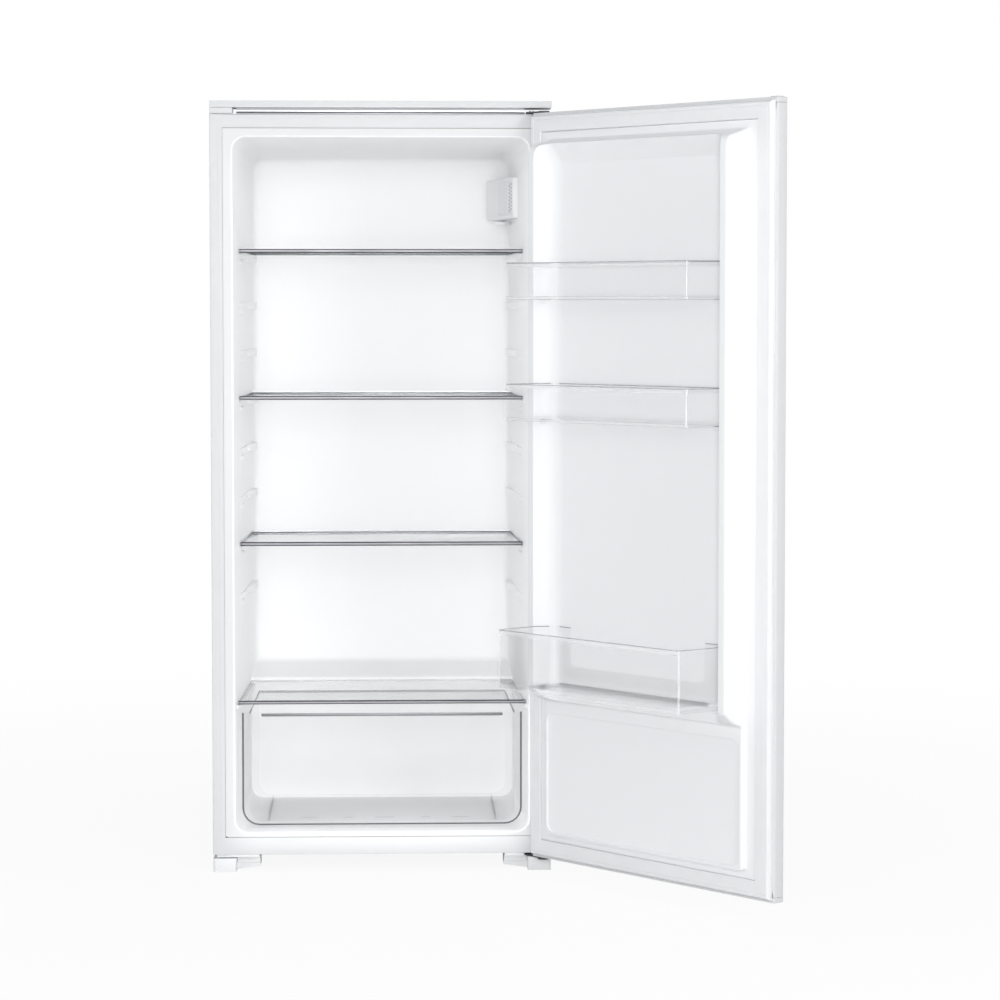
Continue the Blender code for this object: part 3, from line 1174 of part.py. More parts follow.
def build_circuit(black, copper, aluminium):
    """The evaporator, the condenser and the two pipes of the compressor."""
    front = CAVITY_DEPTH + LINER_WALL + GAP
    low = at(-EVAPORATOR_WIDTH / 2, front, EVAPORATOR_BOTTOM)
    box("evaporator", low, at(EVAPORATOR_WIDTH / 2, front + EVAPORATOR_THICKNESS, EVAPORATOR_TOP), aluminium)

    route = [at(DISCHARGE_X, CONDENSER_DEPTH, CONDENSER_BOTTOM)]
    starts = [DISCHARGE_X] + [CONDENSER_HALF] * CONDENSER_PASSES
    ends = [CONDENSER_HALF] * (CONDENSER_PASSES - 1) + [CONDENSER_RETURN_X]
    for i in range(CONDENSER_PASSES):
        side = 1 if i % 2 == 0 else -1
        level = CONDENSER_FIRST + CONDENSER_STEP * i
        route.append(at(side * starts[i], CONDENSER_DEPTH, level))
        route.append(at(-side * ends[i], CONDENSER_DEPTH, level))
    bend_level = DRYER_TOP + DRYER_LEAD
    route.append(at(CONDENSER_RETURN_X, CONDENSER_DEPTH, bend_level))
    route.append(at(CONDENSER_RETURN_X, DRYER_DEPTH, bend_level - (CONDENSER_DEPTH - DRYER_DEPTH)))
    route.append(at(CONDENSER_RETURN_X, DRYER_DEPTH, DRYER_TOP - DRYER_RADIUS))
    condenser = tube("condenser_tube", rounded_route(route, PIPE_BEND), TUBE_RADIUS, black)
    centre = at(CONDENSER_RETURN_X, DRYER_DEPTH, DRYER_TOP - DRYER_LENGTH / 2)
    join(condenser, cylinder("filter_dryer", centre, DRYER_RADIUS, DRYER_LENGTH))

    front = CONDENSER_DEPTH + TUBE_RADIUS + GAP
    margin = LOUVRE_HEIGHT / 2
    low = at(-LOUVRE_PLATE_HALF, front, CONDENSER_FIRST - margin)
    grid = box("condenser_grid", low, at(LOUVRE_PLATE_HALF, front + SHEET, CONDENSER_TOP + margin), black)
    louvres = []
    for row in range(CONDENSER_PASSES - 1):
        level = CONDENSER_FIRST + CONDENSER_STEP * (row + 0.5)
        for column in range(LOUVRE_COLUMNS):
            x = LOUVRE_PITCH * (column - (LOUVRE_COLUMNS - 1) / 2)
            corner = at(x - LOUVRE_WIDTH / 2, front - TUBE_RADIUS, level - LOUVRE_HEIGHT / 2)
            louvres.append((corner, at(x + LOUVRE_WIDTH / 2, front + OVERRUN, level + LOUVRE_HEIGHT / 2)))
    cut(grid, boxes("louvres", louvres))
    for row in SPACER_ROWS:
        level = CONDENSER_FIRST + CONDENSER_STEP * (row + 0.5)
        for side in (-1, 1):
            x = side * LOUVRE_PITCH * (LOUVRE_COLUMNS - 2) / 2
            corner = at(x - SPACER_SIZE / 2, CASING_DEPTH - SHEET, level - SPACER_SIZE / 2)
            spacer = box("condenser_spacer", corner, at(x + SPACER_SIZE / 2, front + SKIN, level + SPACER_SIZE / 2))
            join(grid, spacer)

    end = COMPRESSOR_X + COMPRESSOR_LENGTH / 2 + GAP
    route = [
        at(end, DISCHARGE_DEPTH, DISCHARGE_LEVEL),
        at(DISCHARGE_X, DISCHARGE_DEPTH, DISCHARGE_LEVEL),
        at(DISCHARGE_X, CONDENSER_DEPTH, DISCHARGE_LEVEL),
        at(DISCHARGE_X, CONDENSER_DEPTH, CONDENSER_BOTTOM - GAP),
    ]
    tube("discharge_pipe", rounded_route(route, PIPE_BEND), TUBE_RADIUS, copper)
    route = [
        at(end, SUCTION_DEPTH, SUCTION_LEVEL),
        at(SUCTION_X, SUCTION_DEPTH, SUCTION_LEVEL),
        at(SUCTION_X, SUCTION_DEPTH, EVAPORATOR_BOTTOM - GAP),
    ]
    tube("suction_pipe", rounded_route(route, PIPE_BEND), SUCTION_RADIUS, copper)


def main():
    clear_scene()
    white = material("white_painted_steel", (0.84, 0.85, 0.87), 0.35)
    steel = material("galvanised_steel", (0.55, 0.56, 0.57), 0.4, 0.9)
    silver = material("satin_aluminium", (0.62, 0.63, 0.65), 0.3, 1.0)
    plastic = material("white_moulded_plastic", (0.86, 0.87, 0.89), 0.4)
    board = material("coated_back_panel", (0.70, 0.71, 0.72), 0.6)
    foam_mat = material("insulating_foam", (0.80, 0.70, 0.42), 0.9)
    glass = material("shelf_glass", (0.78, 0.90, 0.86), 0.05, 0.0, 0.3)
    clear = material("clear_plastic", (0.90, 0.93, 0.95), 0.1, 0.0, 0.3)
    rubber = material("grey_rubber", (0.52, 0.53, 0.55), 0.8)
    dark = material("dark_steel", (0.12, 0.12, 0.13), 0.4, 0.8)
    black = material("black_painted_steel", (0.02, 0.02, 0.02), 0.5)
    copper = material("copper_pipe", (0.72, 0.40, 0.25), 0.3, 1.0)
    build_casing(white, steel, silver, board)
    build_top(white, silver)
    build_liner(plastic, foam_mat)
    build_shelves(glass, silver)
    build_drawer(clear, silver)
    build_housing(plastic, clear, plastic)
    hinge = build_door(white, plastic, foam_mat, rubber, plastic)
    build_bins(clear, hinge)
    screw_place = build_hinges(dark, steel)
    build_feet(plastic, screw_place)
    build_base(steel, dark, rubber, plastic)
    build_circuit(black, copper, silver)


main()
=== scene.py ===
"""Looks of a built-in column refrigerator with its door standing open, laid out as an add-on.

Metres, +Z up, +Y to the back. Depths are measured from the plane of the cabinet's front frame. The pieces of the
door are modelled as they stand when it is shut, and are then swung open about the hinge.
"""

import json
import math
from contextlib import contextmanager

import bmesh
import bpy
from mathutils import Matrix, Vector


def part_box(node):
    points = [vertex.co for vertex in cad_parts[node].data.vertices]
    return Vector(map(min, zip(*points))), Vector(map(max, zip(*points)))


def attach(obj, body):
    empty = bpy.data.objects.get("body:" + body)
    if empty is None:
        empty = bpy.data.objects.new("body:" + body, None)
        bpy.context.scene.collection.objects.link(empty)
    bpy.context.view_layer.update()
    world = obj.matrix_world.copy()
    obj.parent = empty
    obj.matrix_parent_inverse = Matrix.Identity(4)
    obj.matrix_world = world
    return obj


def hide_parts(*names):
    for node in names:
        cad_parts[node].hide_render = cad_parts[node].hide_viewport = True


bl_info = {
    "name": "Column refrigerator",
    "version": (1, 0, 0),
    "blender": (4, 5, 0),
    "location": "3D View > Sidebar > Refrigerator",
    "description": "Models and dresses a built-in column refrigerator around its packed frame",
    "category": "Object",
}

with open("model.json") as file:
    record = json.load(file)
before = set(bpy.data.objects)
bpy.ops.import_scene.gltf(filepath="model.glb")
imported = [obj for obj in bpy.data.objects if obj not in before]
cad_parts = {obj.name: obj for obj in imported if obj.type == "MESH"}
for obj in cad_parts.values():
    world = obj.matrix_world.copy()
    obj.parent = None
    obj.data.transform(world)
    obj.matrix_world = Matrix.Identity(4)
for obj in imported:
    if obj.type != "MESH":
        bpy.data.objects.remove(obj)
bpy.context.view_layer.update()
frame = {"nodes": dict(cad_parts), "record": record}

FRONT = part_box("side_panel_left")[0].y
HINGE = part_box("hinge_bush_top")[0].lerp(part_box("hinge_bush_top")[1], 0.5)
HINGE_SHUT = Vector((0.2564, FRONT - 0.0225, 0))
DOOR_ANGLE = math.radians(128.4)
DOOR_HALF = 0.270
CAVITY_HALF = 0.234
CLEARANCE = 0.0003
ALONG = 0.9  # Cosine from which a direction counts as lying along an axis
NEAR = 0.0005  # Distance within which an edge or a face counts as lying on a plane
CLOSE = 0.0002  # The same, where two planes lie near each other


# Selecting and shaping


def deselect():
    """Leaves edit mode and deselects every object."""
    if bpy.context.object and bpy.context.object.mode != "OBJECT":
        bpy.ops.object.mode_set(mode="OBJECT")
    bpy.ops.object.select_all(action="DESELECT")


def pick(obj):
    """Makes an object the only selected one, and the active one."""
    deselect()
    obj.select_set(True)
    bpy.context.view_layer.objects.active = obj


def settle(obj):
    """Puts an object's place, turn and scale into its mesh."""
    pick(obj)
    bpy.ops.object.transform_apply(location=True, rotation=True, scale=True)
    return obj


@contextmanager
def editing(obj, kind="FACE"):
    """Edit mode on one object, with nothing selected at the start."""
    pick(obj)
    bpy.ops.object.mode_set(mode="EDIT")
    bpy.ops.mesh.select_mode(type=kind)
    bpy.ops.mesh.select_all(action="DESELECT")
    yield
    bpy.ops.object.mode_set(mode="OBJECT")


def choose(kind, test, needed=True):
    """Selects the faces or edges of the mesh in edit mode that pass a test on their middle and normal or direction."""
    mesh = bpy.context.object.data
    bm = bmesh.from_edit_mesh(mesh)
    found = 0
    if kind == "FACE":
        for face in bm.faces:
            if test(face.calc_center_median(), face.normal):
                face.select_set(True)
                found += 1
    else:
        for edge in bm.edges:
            a, b = (v.co for v in edge.verts)
            if test((a + b) / 2, (b - a).normalized()):
                edge.select_set(True)
                found += 1
    bmesh.update_edit_mesh(mesh)
    if needed and not found:
        raise RuntimeError(f"{bpy.context.object.name}: nothing fits the selection")
    return found


def bevel_edges(obj, width, segments, test, profile=0.5):
    """Rounds the edges that pass a test on their middle and direction."""
    with editing(obj, "EDGE"):
        choose("EDGE", test)
        bpy.ops.mesh.bevel(offset=width, segments=segments, profile=profile, affect="EDGES", clamp_overlap=True)
    return obj


def drop_faces(obj, test):
    """Deletes the faces that pass a test on their middle and normal."""
    with editing(obj):
        choose("FACE", test)
        bpy.ops.mesh.delete(type="FACE")
    return obj


def modify(obj, kind, **settings):
    """Adds a modifier and applies it."""
    pick(obj)
    bpy.ops.object.modifier_add(type=kind)
    modifier = obj.modifiers[-1]
    for name, value in settings.items():
        setattr(modifier, name, value)
    bpy.ops.object.modifier_apply(modifier=modifier.name)
    return obj


def thin_shell(obj, half, back, bottom, top, wall):
    """Leaves only the modelled side of a block and gives it a wall: its back, sides, top and bottom are deleted."""
    drop_faces(
        obj,
        lambda p, n: abs(n.y) > ALONG and abs(p.y - FRONT - back) < NEAR
        or abs(n.x) > ALONG and abs(p.x) > half - NEAR
        or n.z > ALONG and p.z > top - NEAR
        or n.z < -ALONG and p.z < bottom + NEAR,
    )
    modify(obj, "TRIANGULATE")
    return modify(obj, "SOLIDIFY", thickness=wall, offset=-1)


def soften(obj, width, segments=2, angle=35):
    """Rounds every edge that is sharper than an angle."""
    return modify(
        obj,
        "BEVEL",
        width=width,
        segments=segments,
        limit_method="ANGLE",
        angle_limit=math.radians(angle),
        use_clamp_overlap=True,
    )


def combine(obj, operation, *others):
    """Cuts other objects from one or joins them to it, and removes them."""
    for other in others:
        modify(obj, "BOOLEAN", object=other, operation=operation, solver="EXACT")
        bpy.data.objects.remove(other, do_unlink=True)
    return obj


def cut(obj, *others):
    """Cuts other objects from one."""
    return combine(obj, "DIFFERENCE", *others)


def weld(obj, *others):
    """Joins other objects to one as one closed skin."""
    return combine(obj, "UNION", *others)


def gather(obj, *others):
    """Joins other objects to one and keeps their own skins."""
    pick(obj)
    for other in others:
        other.select_set(True)
    bpy.ops.object.join()
    return obj


def copied(obj, name, move=(0, 0, 0)):
    """A copy with its own mesh, moved."""
    pick(obj)
    bpy.ops.object.duplicate(linked=False)
    new = bpy.context.object
    new.name = new.data.name = name
    bpy.ops.transform.translate(value=move)
    return settle(new)


def mirrored(obj, name):
    """A copy with its own mesh on the other side of the plane through X = 0."""
    new = copied(obj, name)
    with editing(new):
        bpy.ops.mesh.select_all(action="SELECT")
        bpy.ops.transform.resize(value=(-1, 1, 1), center_override=(0, 0, 0))
        bpy.ops.mesh.normals_make_consistent(inside=False)
    return new


def at(x, depth, z):
    """The point at a depth behind the front frame."""
    return Vector((x, FRONT + depth, z))


def named(name):
    """Names the object that was just added."""
    obj = bpy.context.object
    obj.name = obj.data.name = name
    return settle(obj)


def block(name, low, high):
    """A block between two corners, as a start for a piece."""
    deselect()
    low, high = Vector(low), Vector(high)
    bpy.ops.mesh.primitive_cube_add(size=1, location=(low + high) / 2, scale=high - low)
    return named(name)


def disc(name, centre, radius, length, axis="Z", sides=32):
    """A round bar around a centre, as a start for a piece."""
    deselect()
    turn = {"X": (0, math.pi / 2, 0), "Y": (math.pi / 2, 0, 0), "Z": (0, 0, 0)}[axis]
    bpy.ops.mesh.primitive_cylinder_add(vertices=sides, radius=radius, depth=length, location=centre, rotation=turn)
    return named(name)


def prism(name, points, move):
    """A flat outline, drawn by moving the points of a disc, and extruded."""
    deselect()
    bpy.ops.mesh.primitive_circle_add(vertices=len(points), radius=1, fill_type="NGON")
    obj = named(name)
    with editing(obj, "VERT"):
        bm = bmesh.from_edit_mesh(obj.data)
        for vertex, point in zip(bm.verts, points):
            vertex.co = point
        bmesh.update_edit_mesh(obj.data)
        bpy.ops.mesh.select_all(action="SELECT")
        bpy.ops.mesh.extrude_region_move(TRANSFORM_OT_translate={"value": Vector(move)})
        bpy.ops.mesh.select_all(action="SELECT")
        bpy.ops.mesh.normals_make_consistent(inside=False)
    return obj


def reshape(obj, change):
    """Moves every vertex to where a function puts it."""
    for vertex in obj.data.vertices:
        vertex.co = change(vertex.co.copy())
    return obj


def inset_plan(points, distance):
    """An outline with every side moved inwards by a distance. It runs anticlockwise."""
    result = []
    for i, (x, y) in enumerate(points):
        ax, ay = points[i - 1]
        bx, by = points[(i + 1) % len(points)]
        u = Vector((x - ax, y - ay)).normalized()
        v = Vector((bx - x, by - y)).normalized()
        n, m = Vector((-u.y, u.x)), Vector((-v.y, v.x))
        away = (n + m) * (distance / (1 + n.dot(m)))
        result.append((x + away.x, y + away.y))
    return result


def bend(start, corner, end, steps=8):
    """Points on a curve from one point to another, pulled towards a corner."""
    result = []
    for i in range(steps + 1):
        u = i / steps
        result.append(
            tuple((a * (1 - u) + b * u) * (1 - u) + (b * (1 - u) + c * u) * u for a, b, c in zip(start, corner, end))
        )
    return result


def smooth_curve(points, steps=3):
    """Points on a smooth curve through some points."""
    result = []
    for i in range(len(points) - 1):
        a, b = points[max(i - 1, 0)], points[i]
        c, d = points[i + 1], points[min(i + 2, len(points) - 1)]
        for k in range(steps):
            u = k / steps
            result.append(
                tuple(
                    0.5 * (2 * q + (r - p) * u + (2 * p - 5 * q + 4 * r - w) * u**2 + (3 * q - p - 3 * r + w) * u**3)
                    for p, q, r, w in zip(a, b, c, d)
                )
            )
    return [*result, points[-1]]


def swing_open(obj):
    """Turns a piece of the door from where it is shut to where it stands open."""
    pick(obj)
    bpy.ops.transform.rotate(value=-DOOR_ANGLE, orient_axis="Z", center_override=(HINGE.x, HINGE.y, 0))
    return settle(obj)


# Materials


class Nodes:
    """Adds nodes to a material's tree and links them."""

    def __init__(self, name):
        self.material = bpy.data.materials.new(name)
        self.material.use_nodes = True
        self.tree = self.material.node_tree
        self.shader = self.tree.nodes["Principled BSDF"]
        self.coordinates = self.tree.nodes.new("ShaderNodeTexCoord").outputs["Object"]

    def add(self, kind, links=(), **values):
        """One node. Values are its own settings, and links are pairs of an input and what it takes."""
        node = self.tree.nodes.new(kind)
        for name, value in values.items():
            setattr(node, name, value)
        for name, value in links:
            if isinstance(value, bpy.types.NodeSocket):
                self.tree.links.new(value, node.inputs[name])
            else:
                node.inputs[name].default_value = value
        return node

    def stretched(self, scale):
        """The object's coordinates, scaled."""
        return self.add("ShaderNodeMapping", [("Vector", self.coordinates), ("Scale", scale)]).outputs["Vector"]

    def noise(self, scale, detail=3.0, vector=None, roughness=0.5):
        """Noise from 0 to 1 with a number of waves in each metre."""
        links = [("Vector", vector or self.coordinates), ("Scale", scale), ("Detail", detail), ("Roughness", roughness)]
        return self.add("ShaderNodeTexNoise", links).outputs["Fac"]

    def ranged(self, value, low, high, start=0.3, end=0.7):
        """A value spread over another range."""
        links = [("Value", value), ("From Min", start), ("From Max", end), ("To Min", low), ("To Max", high)]
        return self.add("ShaderNodeMapRange", links).outputs["Result"]

    def mixed(self, value, first, second):
        """A colour between two colours."""
        node = self.add("ShaderNodeMix", data_type="RGBA")
        self.tree.links.new(value, node.inputs["Factor"])
        for socket, colour in zip((s for s in node.inputs if s.type == "RGBA"), (first, second)):
            if isinstance(colour, bpy.types.NodeSocket):
                self.tree.links.new(colour, socket)
            else:
                socket.default_value = (*colour, 1.0)
        return next(s for s in node.outputs if s.type == "RGBA")

    def bump(self, height, strength, distance, normal=None):
        """A bump from a height, on top of another bump."""
        links = [("Height", height), ("Strength", strength), ("Distance", distance)]
        if normal:
            links.append(("Normal", normal))
        return self.add("ShaderNodeBump", links).outputs["Normal"]

    def set(self, **values):
        """Sets or links the shader's sockets."""
        for name, value in values.items():
            socket = self.shader.inputs[name.replace("_", " ")]
            if isinstance(value, bpy.types.NodeSocket):
                self.tree.links.new(value, socket)
            elif isinstance(socket.default_value, float):
                socket.default_value = value
            else:
                socket.default_value = (*value, 1.0)
        return self.material


def shade(colour, factor):
    """A colour made darker or lighter."""
    return tuple(min(1.0, c * factor) for c in colour[:3])


def enamel(name, colour, roughness=0.52, texture=0.05):
    """Painted sheet steel: a fine orange peel, and very slight cloudiness."""
    n = Nodes(name)
    cloud = n.noise(4.0, 4.0)
    peel = n.noise(620.0, 2.0)
    speck = n.noise(2600.0, 2.0)
    base = n.mixed(n.ranged(cloud, 0.0, 1.0), shade(colour, 0.985), shade(colour, 1.01))
    rough = n.ranged(n.noise(35.0, 4.0), roughness - 0.03, roughness + 0.05)
    normal = n.bump(speck, texture, 0.00004, n.bump(peel, texture, 0.0003))
    return n.set(Base_Color=base, Roughness=rough, Normal=normal, Specular_IOR_Level=0.3)


def moulded(name, colour, roughness=0.42, grain=1500.0, strength=0.08):
    """Moulded or vacuum-formed plastic: a fine grain, and slight flow marks."""
    n = Nodes(name)
    flow = n.noise(3.0, 3.0, n.stretched((1.0, 1.0, 0.35)))
    fine = n.noise(grain, 2.0)
    base = n.mixed(n.ranged(flow, 0.0, 1.0), shade(colour, 0.985), shade(colour, 1.01))
    rough = n.ranged(n.noise(50.0, 4.0), roughness - 0.04, roughness + 0.04)
    normal = n.bump(fine, strength, 0.0001)
    return n.set(Base_Color=base, Roughness=rough, Normal=normal, Specular_IOR_Level=0.3)


def brushed(name, colour, along, roughness=0.3, metallic=1.0):
    """Metal with fine lines along one axis."""
    n = Nodes(name)
    lines = n.noise(700.0, 3.0, n.stretched(tuple(0.012 if i == "XYZ".index(along) else 1.0 for i in range(3))))
    cloud = n.noise(18.0, 3.0)
    base = n.mixed(n.ranged(lines, 0.0, 1.0), shade(colour, 0.9), shade(colour, 1.08))
    rough = n.ranged(cloud, roughness - 0.04, roughness + 0.06)
    normal = n.bump(lines, 0.12, 0.0001)
    return n.set(Base_Color=base, Roughness=rough, Metallic=metallic, Normal=normal)


def galvanised(name, colour):
    """Zinc-coated steel with its spangle."""
    n = Nodes(name)
    cells = n.add("ShaderNodeTexVoronoi", [("Vector", n.coordinates), ("Scale", 95.0), ("Randomness", 1.0)])
    spangle = n.add("ShaderNodeSeparateColor", [("Color", cells.outputs["Color"])]).outputs["Red"]
    base = n.mixed(spangle, shade(colour, 0.86), shade(colour, 1.1))
    rough = n.ranged(spangle, 0.34, 0.52, 0.0, 1.0)
    normal = n.bump(n.noise(240.0, 3.0), 0.06, 0.0002)
    return n.set(Base_Color=base, Roughness=rough, Metallic=0.85, Normal=normal)


def clear(name, colour, faced, grazed, roughness, start=0.55):
    """Thin clear plastic or glass, which shows most where it is seen along its surface."""
    n = Nodes(name)
    wave = n.noise(14.0, 2.0)
    base = n.mixed(n.ranged(wave, 0.0, 1.0), shade(colour, 0.96), colour)
    edge = n.add("ShaderNodeLayerWeight", [("Blend", 0.5)]).outputs["Facing"]
    rough = n.ranged(n.noise(40.0, 3.0), roughness * 0.8, roughness * 1.3)
    normal = n.bump(n.noise(45.0, 2.0), 0.02, 0.0005)
    alpha = n.ranged(edge, faced, grazed, start, 1.0)
    return n.set(Base_Color=base, Roughness=rough, Alpha=alpha, Normal=normal, Specular_IOR_Level=0.6)


def rubber(name, colour, roughness=0.55):
    """Soft rubber or soft vinyl with a dusty grain."""
    n = Nodes(name)
    dust = n.noise(30.0, 3.0)
    base = n.mixed(n.ranged(dust, 0.0, 1.0), shade(colour, 0.985), shade(colour, 1.01))
    rough = n.ranged(dust, roughness - 0.05, roughness + 0.1)
    return n.set(Base_Color=base, Roughness=rough, Normal=n.bump(n.noise(1800.0, 2.0), 0.1, 0.0001))


def lacquered(name, colour, roughness=0.4):
    """Thick dark paint on a casting or on wire, with runs and dust."""
    n = Nodes(name)
    dust = n.noise(40.0, 5.0)
    base = n.mixed(n.ranged(dust, 0.0, 1.0), shade(colour, 0.8), shade(colour, 1.5))
    rough = n.ranged(dust, roughness - 0.08, roughness + 0.12)
    return n.set(Base_Color=base, Roughness=rough, Normal=n.bump(n.noise(420.0, 3.0), 0.12, 0.0002))


def foamed(name, colour):
    """Rigid insulating foam with its open cells."""
    n = Nodes(name)
    cells = n.add("ShaderNodeTexVoronoi", [("Vector", n.coordinates), ("Scale", 700.0)]).outputs["Distance"]
    base = n.mixed(cells, shade(colour, 0.8), colour)
    return n.set(Base_Color=base, Roughness=0.9, Normal=n.bump(cells, 0.5, 0.001))


finishes = {}


def finish(slot):
    """The material of one of the record's slots."""
    if not finishes:
        raise RuntimeError("run the materials operator first")
    return finishes[slot]


def coat(obj, look):
    """Gives a whole piece one finish."""
    obj.data.materials.clear()
    obj.data.materials.append(finish(look))
    for face in obj.data.polygons:
        face.material_index = 0
    return obj


def place(obj, slot, body, *nodes, angle=35, look=None):
    """Smooths and dresses a piece, hangs it on a body and lets it stand for CAD nodes."""
    pick(obj)
    bpy.ops.object.shade_smooth_by_angle(angle=math.radians(angle))
    if not obj.data.materials:
        coat(obj, look or slot)
    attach(obj, body)
    if nodes:
        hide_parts(*nodes)
    return obj


def streak(obj, look, test):
    """Gives another finish to the faces that pass a test on their middle and normal."""
    obj.data.materials.append(finish(look))
    last = len(obj.data.materials) - 1
    found = 0
    for face in obj.data.polygons:
        if test(face.center, face.normal):
            face.material_index = last
            found += 1
    if not found:
        raise RuntimeError(f"{obj.name}: nothing takes {look}")
    return obj


# Settings


def length(name, default, description):
    """A length property."""
    return bpy.props.FloatProperty(
        name=name, description=description, default=default, min=0.0, unit="LENGTH", precision=4
    )


def colour(name, default, description):
    """A colour property."""
    return bpy.props.FloatVectorProperty(
        name=name, description=description, default=default, size=3, min=0.0, max=1.0, subtype="COLOR"
    )


def power(name, default):
    """A lamp's power."""
    return bpy.props.FloatProperty(name=name, description="Power in watts", default=default, min=0.0)


class FinishSettings(bpy.types.PropertyGroup):
    enamel: colour("Enamel", (0.68, 0.685, 0.695), "Colour of the painted steel")
    plastic: colour("Liner plastic", (0.94, 0.942, 0.946), "Colour of the white plastic")
    # Painted shade: a darker copy of the white plastic, for the door liner and the lamp housing
    shaded_door_plastic: colour("Door plastic", (0.86, 0.865, 0.875), "Colour of the door liner's plastic")
    gasket: colour("Gasket", (0.82, 0.825, 0.835), "Colour of the door's gasket")
    shelf_glass: colour("Shelf glass", (0.93, 0.955, 0.95), "Tint of the shelves' glass")
    # Painted shade along the clear plastic's edges, where it looks dark seen edge-on; the lens's dots take the same
    # grey
    edge_shade_and_dots: colour("Plastic edge", (0.16, 0.175, 0.20), "Colour of the clear plastic along its edges")
    # Painted highlight: a lighter, more opaque clear plastic for the trays' front corners and bands
    plastic_painted_highlight: colour("Plastic corner", (0.95, 0.96, 0.97), "Colour of the clear plastic round its corners")
    # Painted reflection: a lighter copy of the aluminium, for the rear trims and the strip over the door
    aluminium_painted_reflection: colour("Bright aluminium", (0.74, 0.75, 0.78), "Colour of the strip over the door")
    lens_plastic: colour("Lens plastic", (0.80, 0.815, 0.835), "Colour of the lamp's milky lens")
    # Painted shade: a darker copy of the liner plastic for its front flange, which the front lamps light more than the
    # cavity
    liner_flange: colour("Liner flange", (0.71, 0.715, 0.72), "Colour of the liner's front flange")
    foot_plastic: colour("Foot plastic", (0.80, 0.805, 0.815), "Colour of the feet")
    # Painted shade: a near-black copy of the aluminium along the trims' edges and ends, and round the drawer's grip
    trim_painted_shade: colour("Trim edge", (0.055, 0.055, 0.062), "Colour of the shelves' trims along their edges")
    # The glass's green tint along its ground edges, with painted shade that makes them dark
    glass_edge: colour("Glass edge", (0.10, 0.125, 0.125), "Colour of the glass along its ground edges")
    # The cover's tint along its edges, with painted shade
    cover_tint_and_shade: colour("Pale edge", (0.50, 0.53, 0.54), "Colour of the crisper cover along its edges")
    # Painted shadow: the dark outline of the drawer's front, for the shadow in the gap to the liner
    drawer_painted_shadow: colour("Dark rim", (0.035, 0.04, 0.05), "Colour of the drawer's front along its edge")
    clear_plastic: colour("Clear plastic", (0.93, 0.94, 0.955), "Tint of the bins and the drawer")
    aluminium: colour("Aluminium", (0.20, 0.20, 0.21), "Colour of the shelves' trims")
    zinc: colour("Zinc", (0.55, 0.56, 0.58), "Colour of the galvanised steel")
    dark_steel: colour("Dark steel", (0.05, 0.052, 0.06), "Colour of the hinges and the compressor")
    black_paint: colour("Black paint", (0.018, 0.018, 0.02), "Colour of the condenser")
    copper: colour("Copper", (0.72, 0.35, 0.22), "Colour of the copper pipes")
    backing: colour("Back panel", (0.60, 0.61, 0.62), "Colour of the back panel")
    foam: colour("Foam", (0.72, 0.66, 0.45), "Colour of the insulating foam")


class CabinetSettings(bpy.types.PropertyGroup):
    corner: length("Corner", 0.020, "Radius of the cavity's corners")
    back_corner: length("Back corner", 0.011, "Radius of the cavity's corners at its back")
    draft: bpy.props.FloatProperty(
        name="Draft", description="How much the side walls lean in with the depth", default=0.033, precision=3
    )
    lip: length("Lip", 0.0035, "Radius of the edge between the flange and the cavity")
    wall: length("Wall", 0.0013, "Thickness of the liner")
    first_rib: length("First rib", 0.4333, "Height of the lowest shelf rib's top")
    rib_pitch: length("Rib pitch", 0.0792, "Distance from one shelf rib to the next")
    ribs: bpy.props.IntProperty(name="Ribs", description="Number of shelf ribs on each side", default=8, min=1)


class DoorSettings(bpy.types.PropertyGroup):
    crest: length("Crest", 0.043, "Height of the door liner's ridges above the closing plane")
    crest_width: length("Crest width", 0.015, "Width of the ridges' tops")
    edge: length("Edge", 0.005, "Radius of the ridges' edges")
    panel: length("Panel", 0.0046, "Level of the lower panel's floor")
    plinth: bpy.props.FloatProperty(
        name="Plinth", description="Level of the liner inside the gasket", default=-0.0018, unit="LENGTH"
    )
    wall: length("Wall", 0.0013, "Thickness of the door liner")


class ShelfSettings(bpy.types.PropertyGroup):
    glass: length("Glass", 0.004, "Thickness of the glass")
    upper: length("Upper shelf", 0.9890, "Height of the upper shelf's underside")
    cover: length("Cover", 0.2632, "Height of the crisper cover's underside")
    spacing: bpy.props.IntProperty(name="Spacing", description="Ribs from one shelf to the next", default=3, min=1)


class TraySettings(bpy.types.PropertyGroup):
    drawer_wall: length("Drawer wall", 0.0024, "Thickness of the drawer")
    tray_wall: length("Tray wall", 0.0022, "Thickness of the door's trays")
    bin_pitch: length("Bin pitch", 0.186, "Distance from the upper bin to the middle bin")
    rim: length("Rim", 0.0070, "Height of the trays' rims")
    foot: length("Foot", 0.0050, "Height of the band round the trays' feet")


class StudioSettings(bpy.types.PropertyGroup):
    camera_x: bpy.props.FloatProperty(name="Camera X", description="Place of the camera", default=0.0019, unit="LENGTH")
    camera_distance: length("Camera distance", 5.08, "Distance of the camera from the cabinet's front")
    camera_height: length("Camera height", 0.9051, "Height of the camera above the feet")
    focal_length: bpy.props.FloatProperty(
        name="Focal length", description="Focal length in millimetres", default=115.27, min=1.0
    )
    tilt: bpy.props.FloatProperty(
        name="Tilt", description="How far the camera looks down", default=math.radians(3.5), subtype="ANGLE"
    )
    pan: bpy.props.FloatProperty(
        name="Pan", description="How far the camera looks to the right", default=math.radians(2.1), subtype="ANGLE"
    )
    front_power: power("Front light", 120.0)
    left_power: power("Left light", 96.0)
    right_power: power("Right light", 80.0)
    fill_power: power("Opening fill", 0.40)
    crisper_power: power("Crisper fill", 0.055)
    world_strength: bpy.props.FloatProperty(name="World", description="Light from all round", default=0.455, min=0.0)


GROUPS = {
    "refrigerator_finish": FinishSettings,
    "refrigerator_cabinet": CabinetSettings,
    "refrigerator_door": DoorSettings,
    "refrigerator_shelves": ShelfSettings,
    "refrigerator_trays": TraySettings,
    "refrigerator_studio": StudioSettings,
}


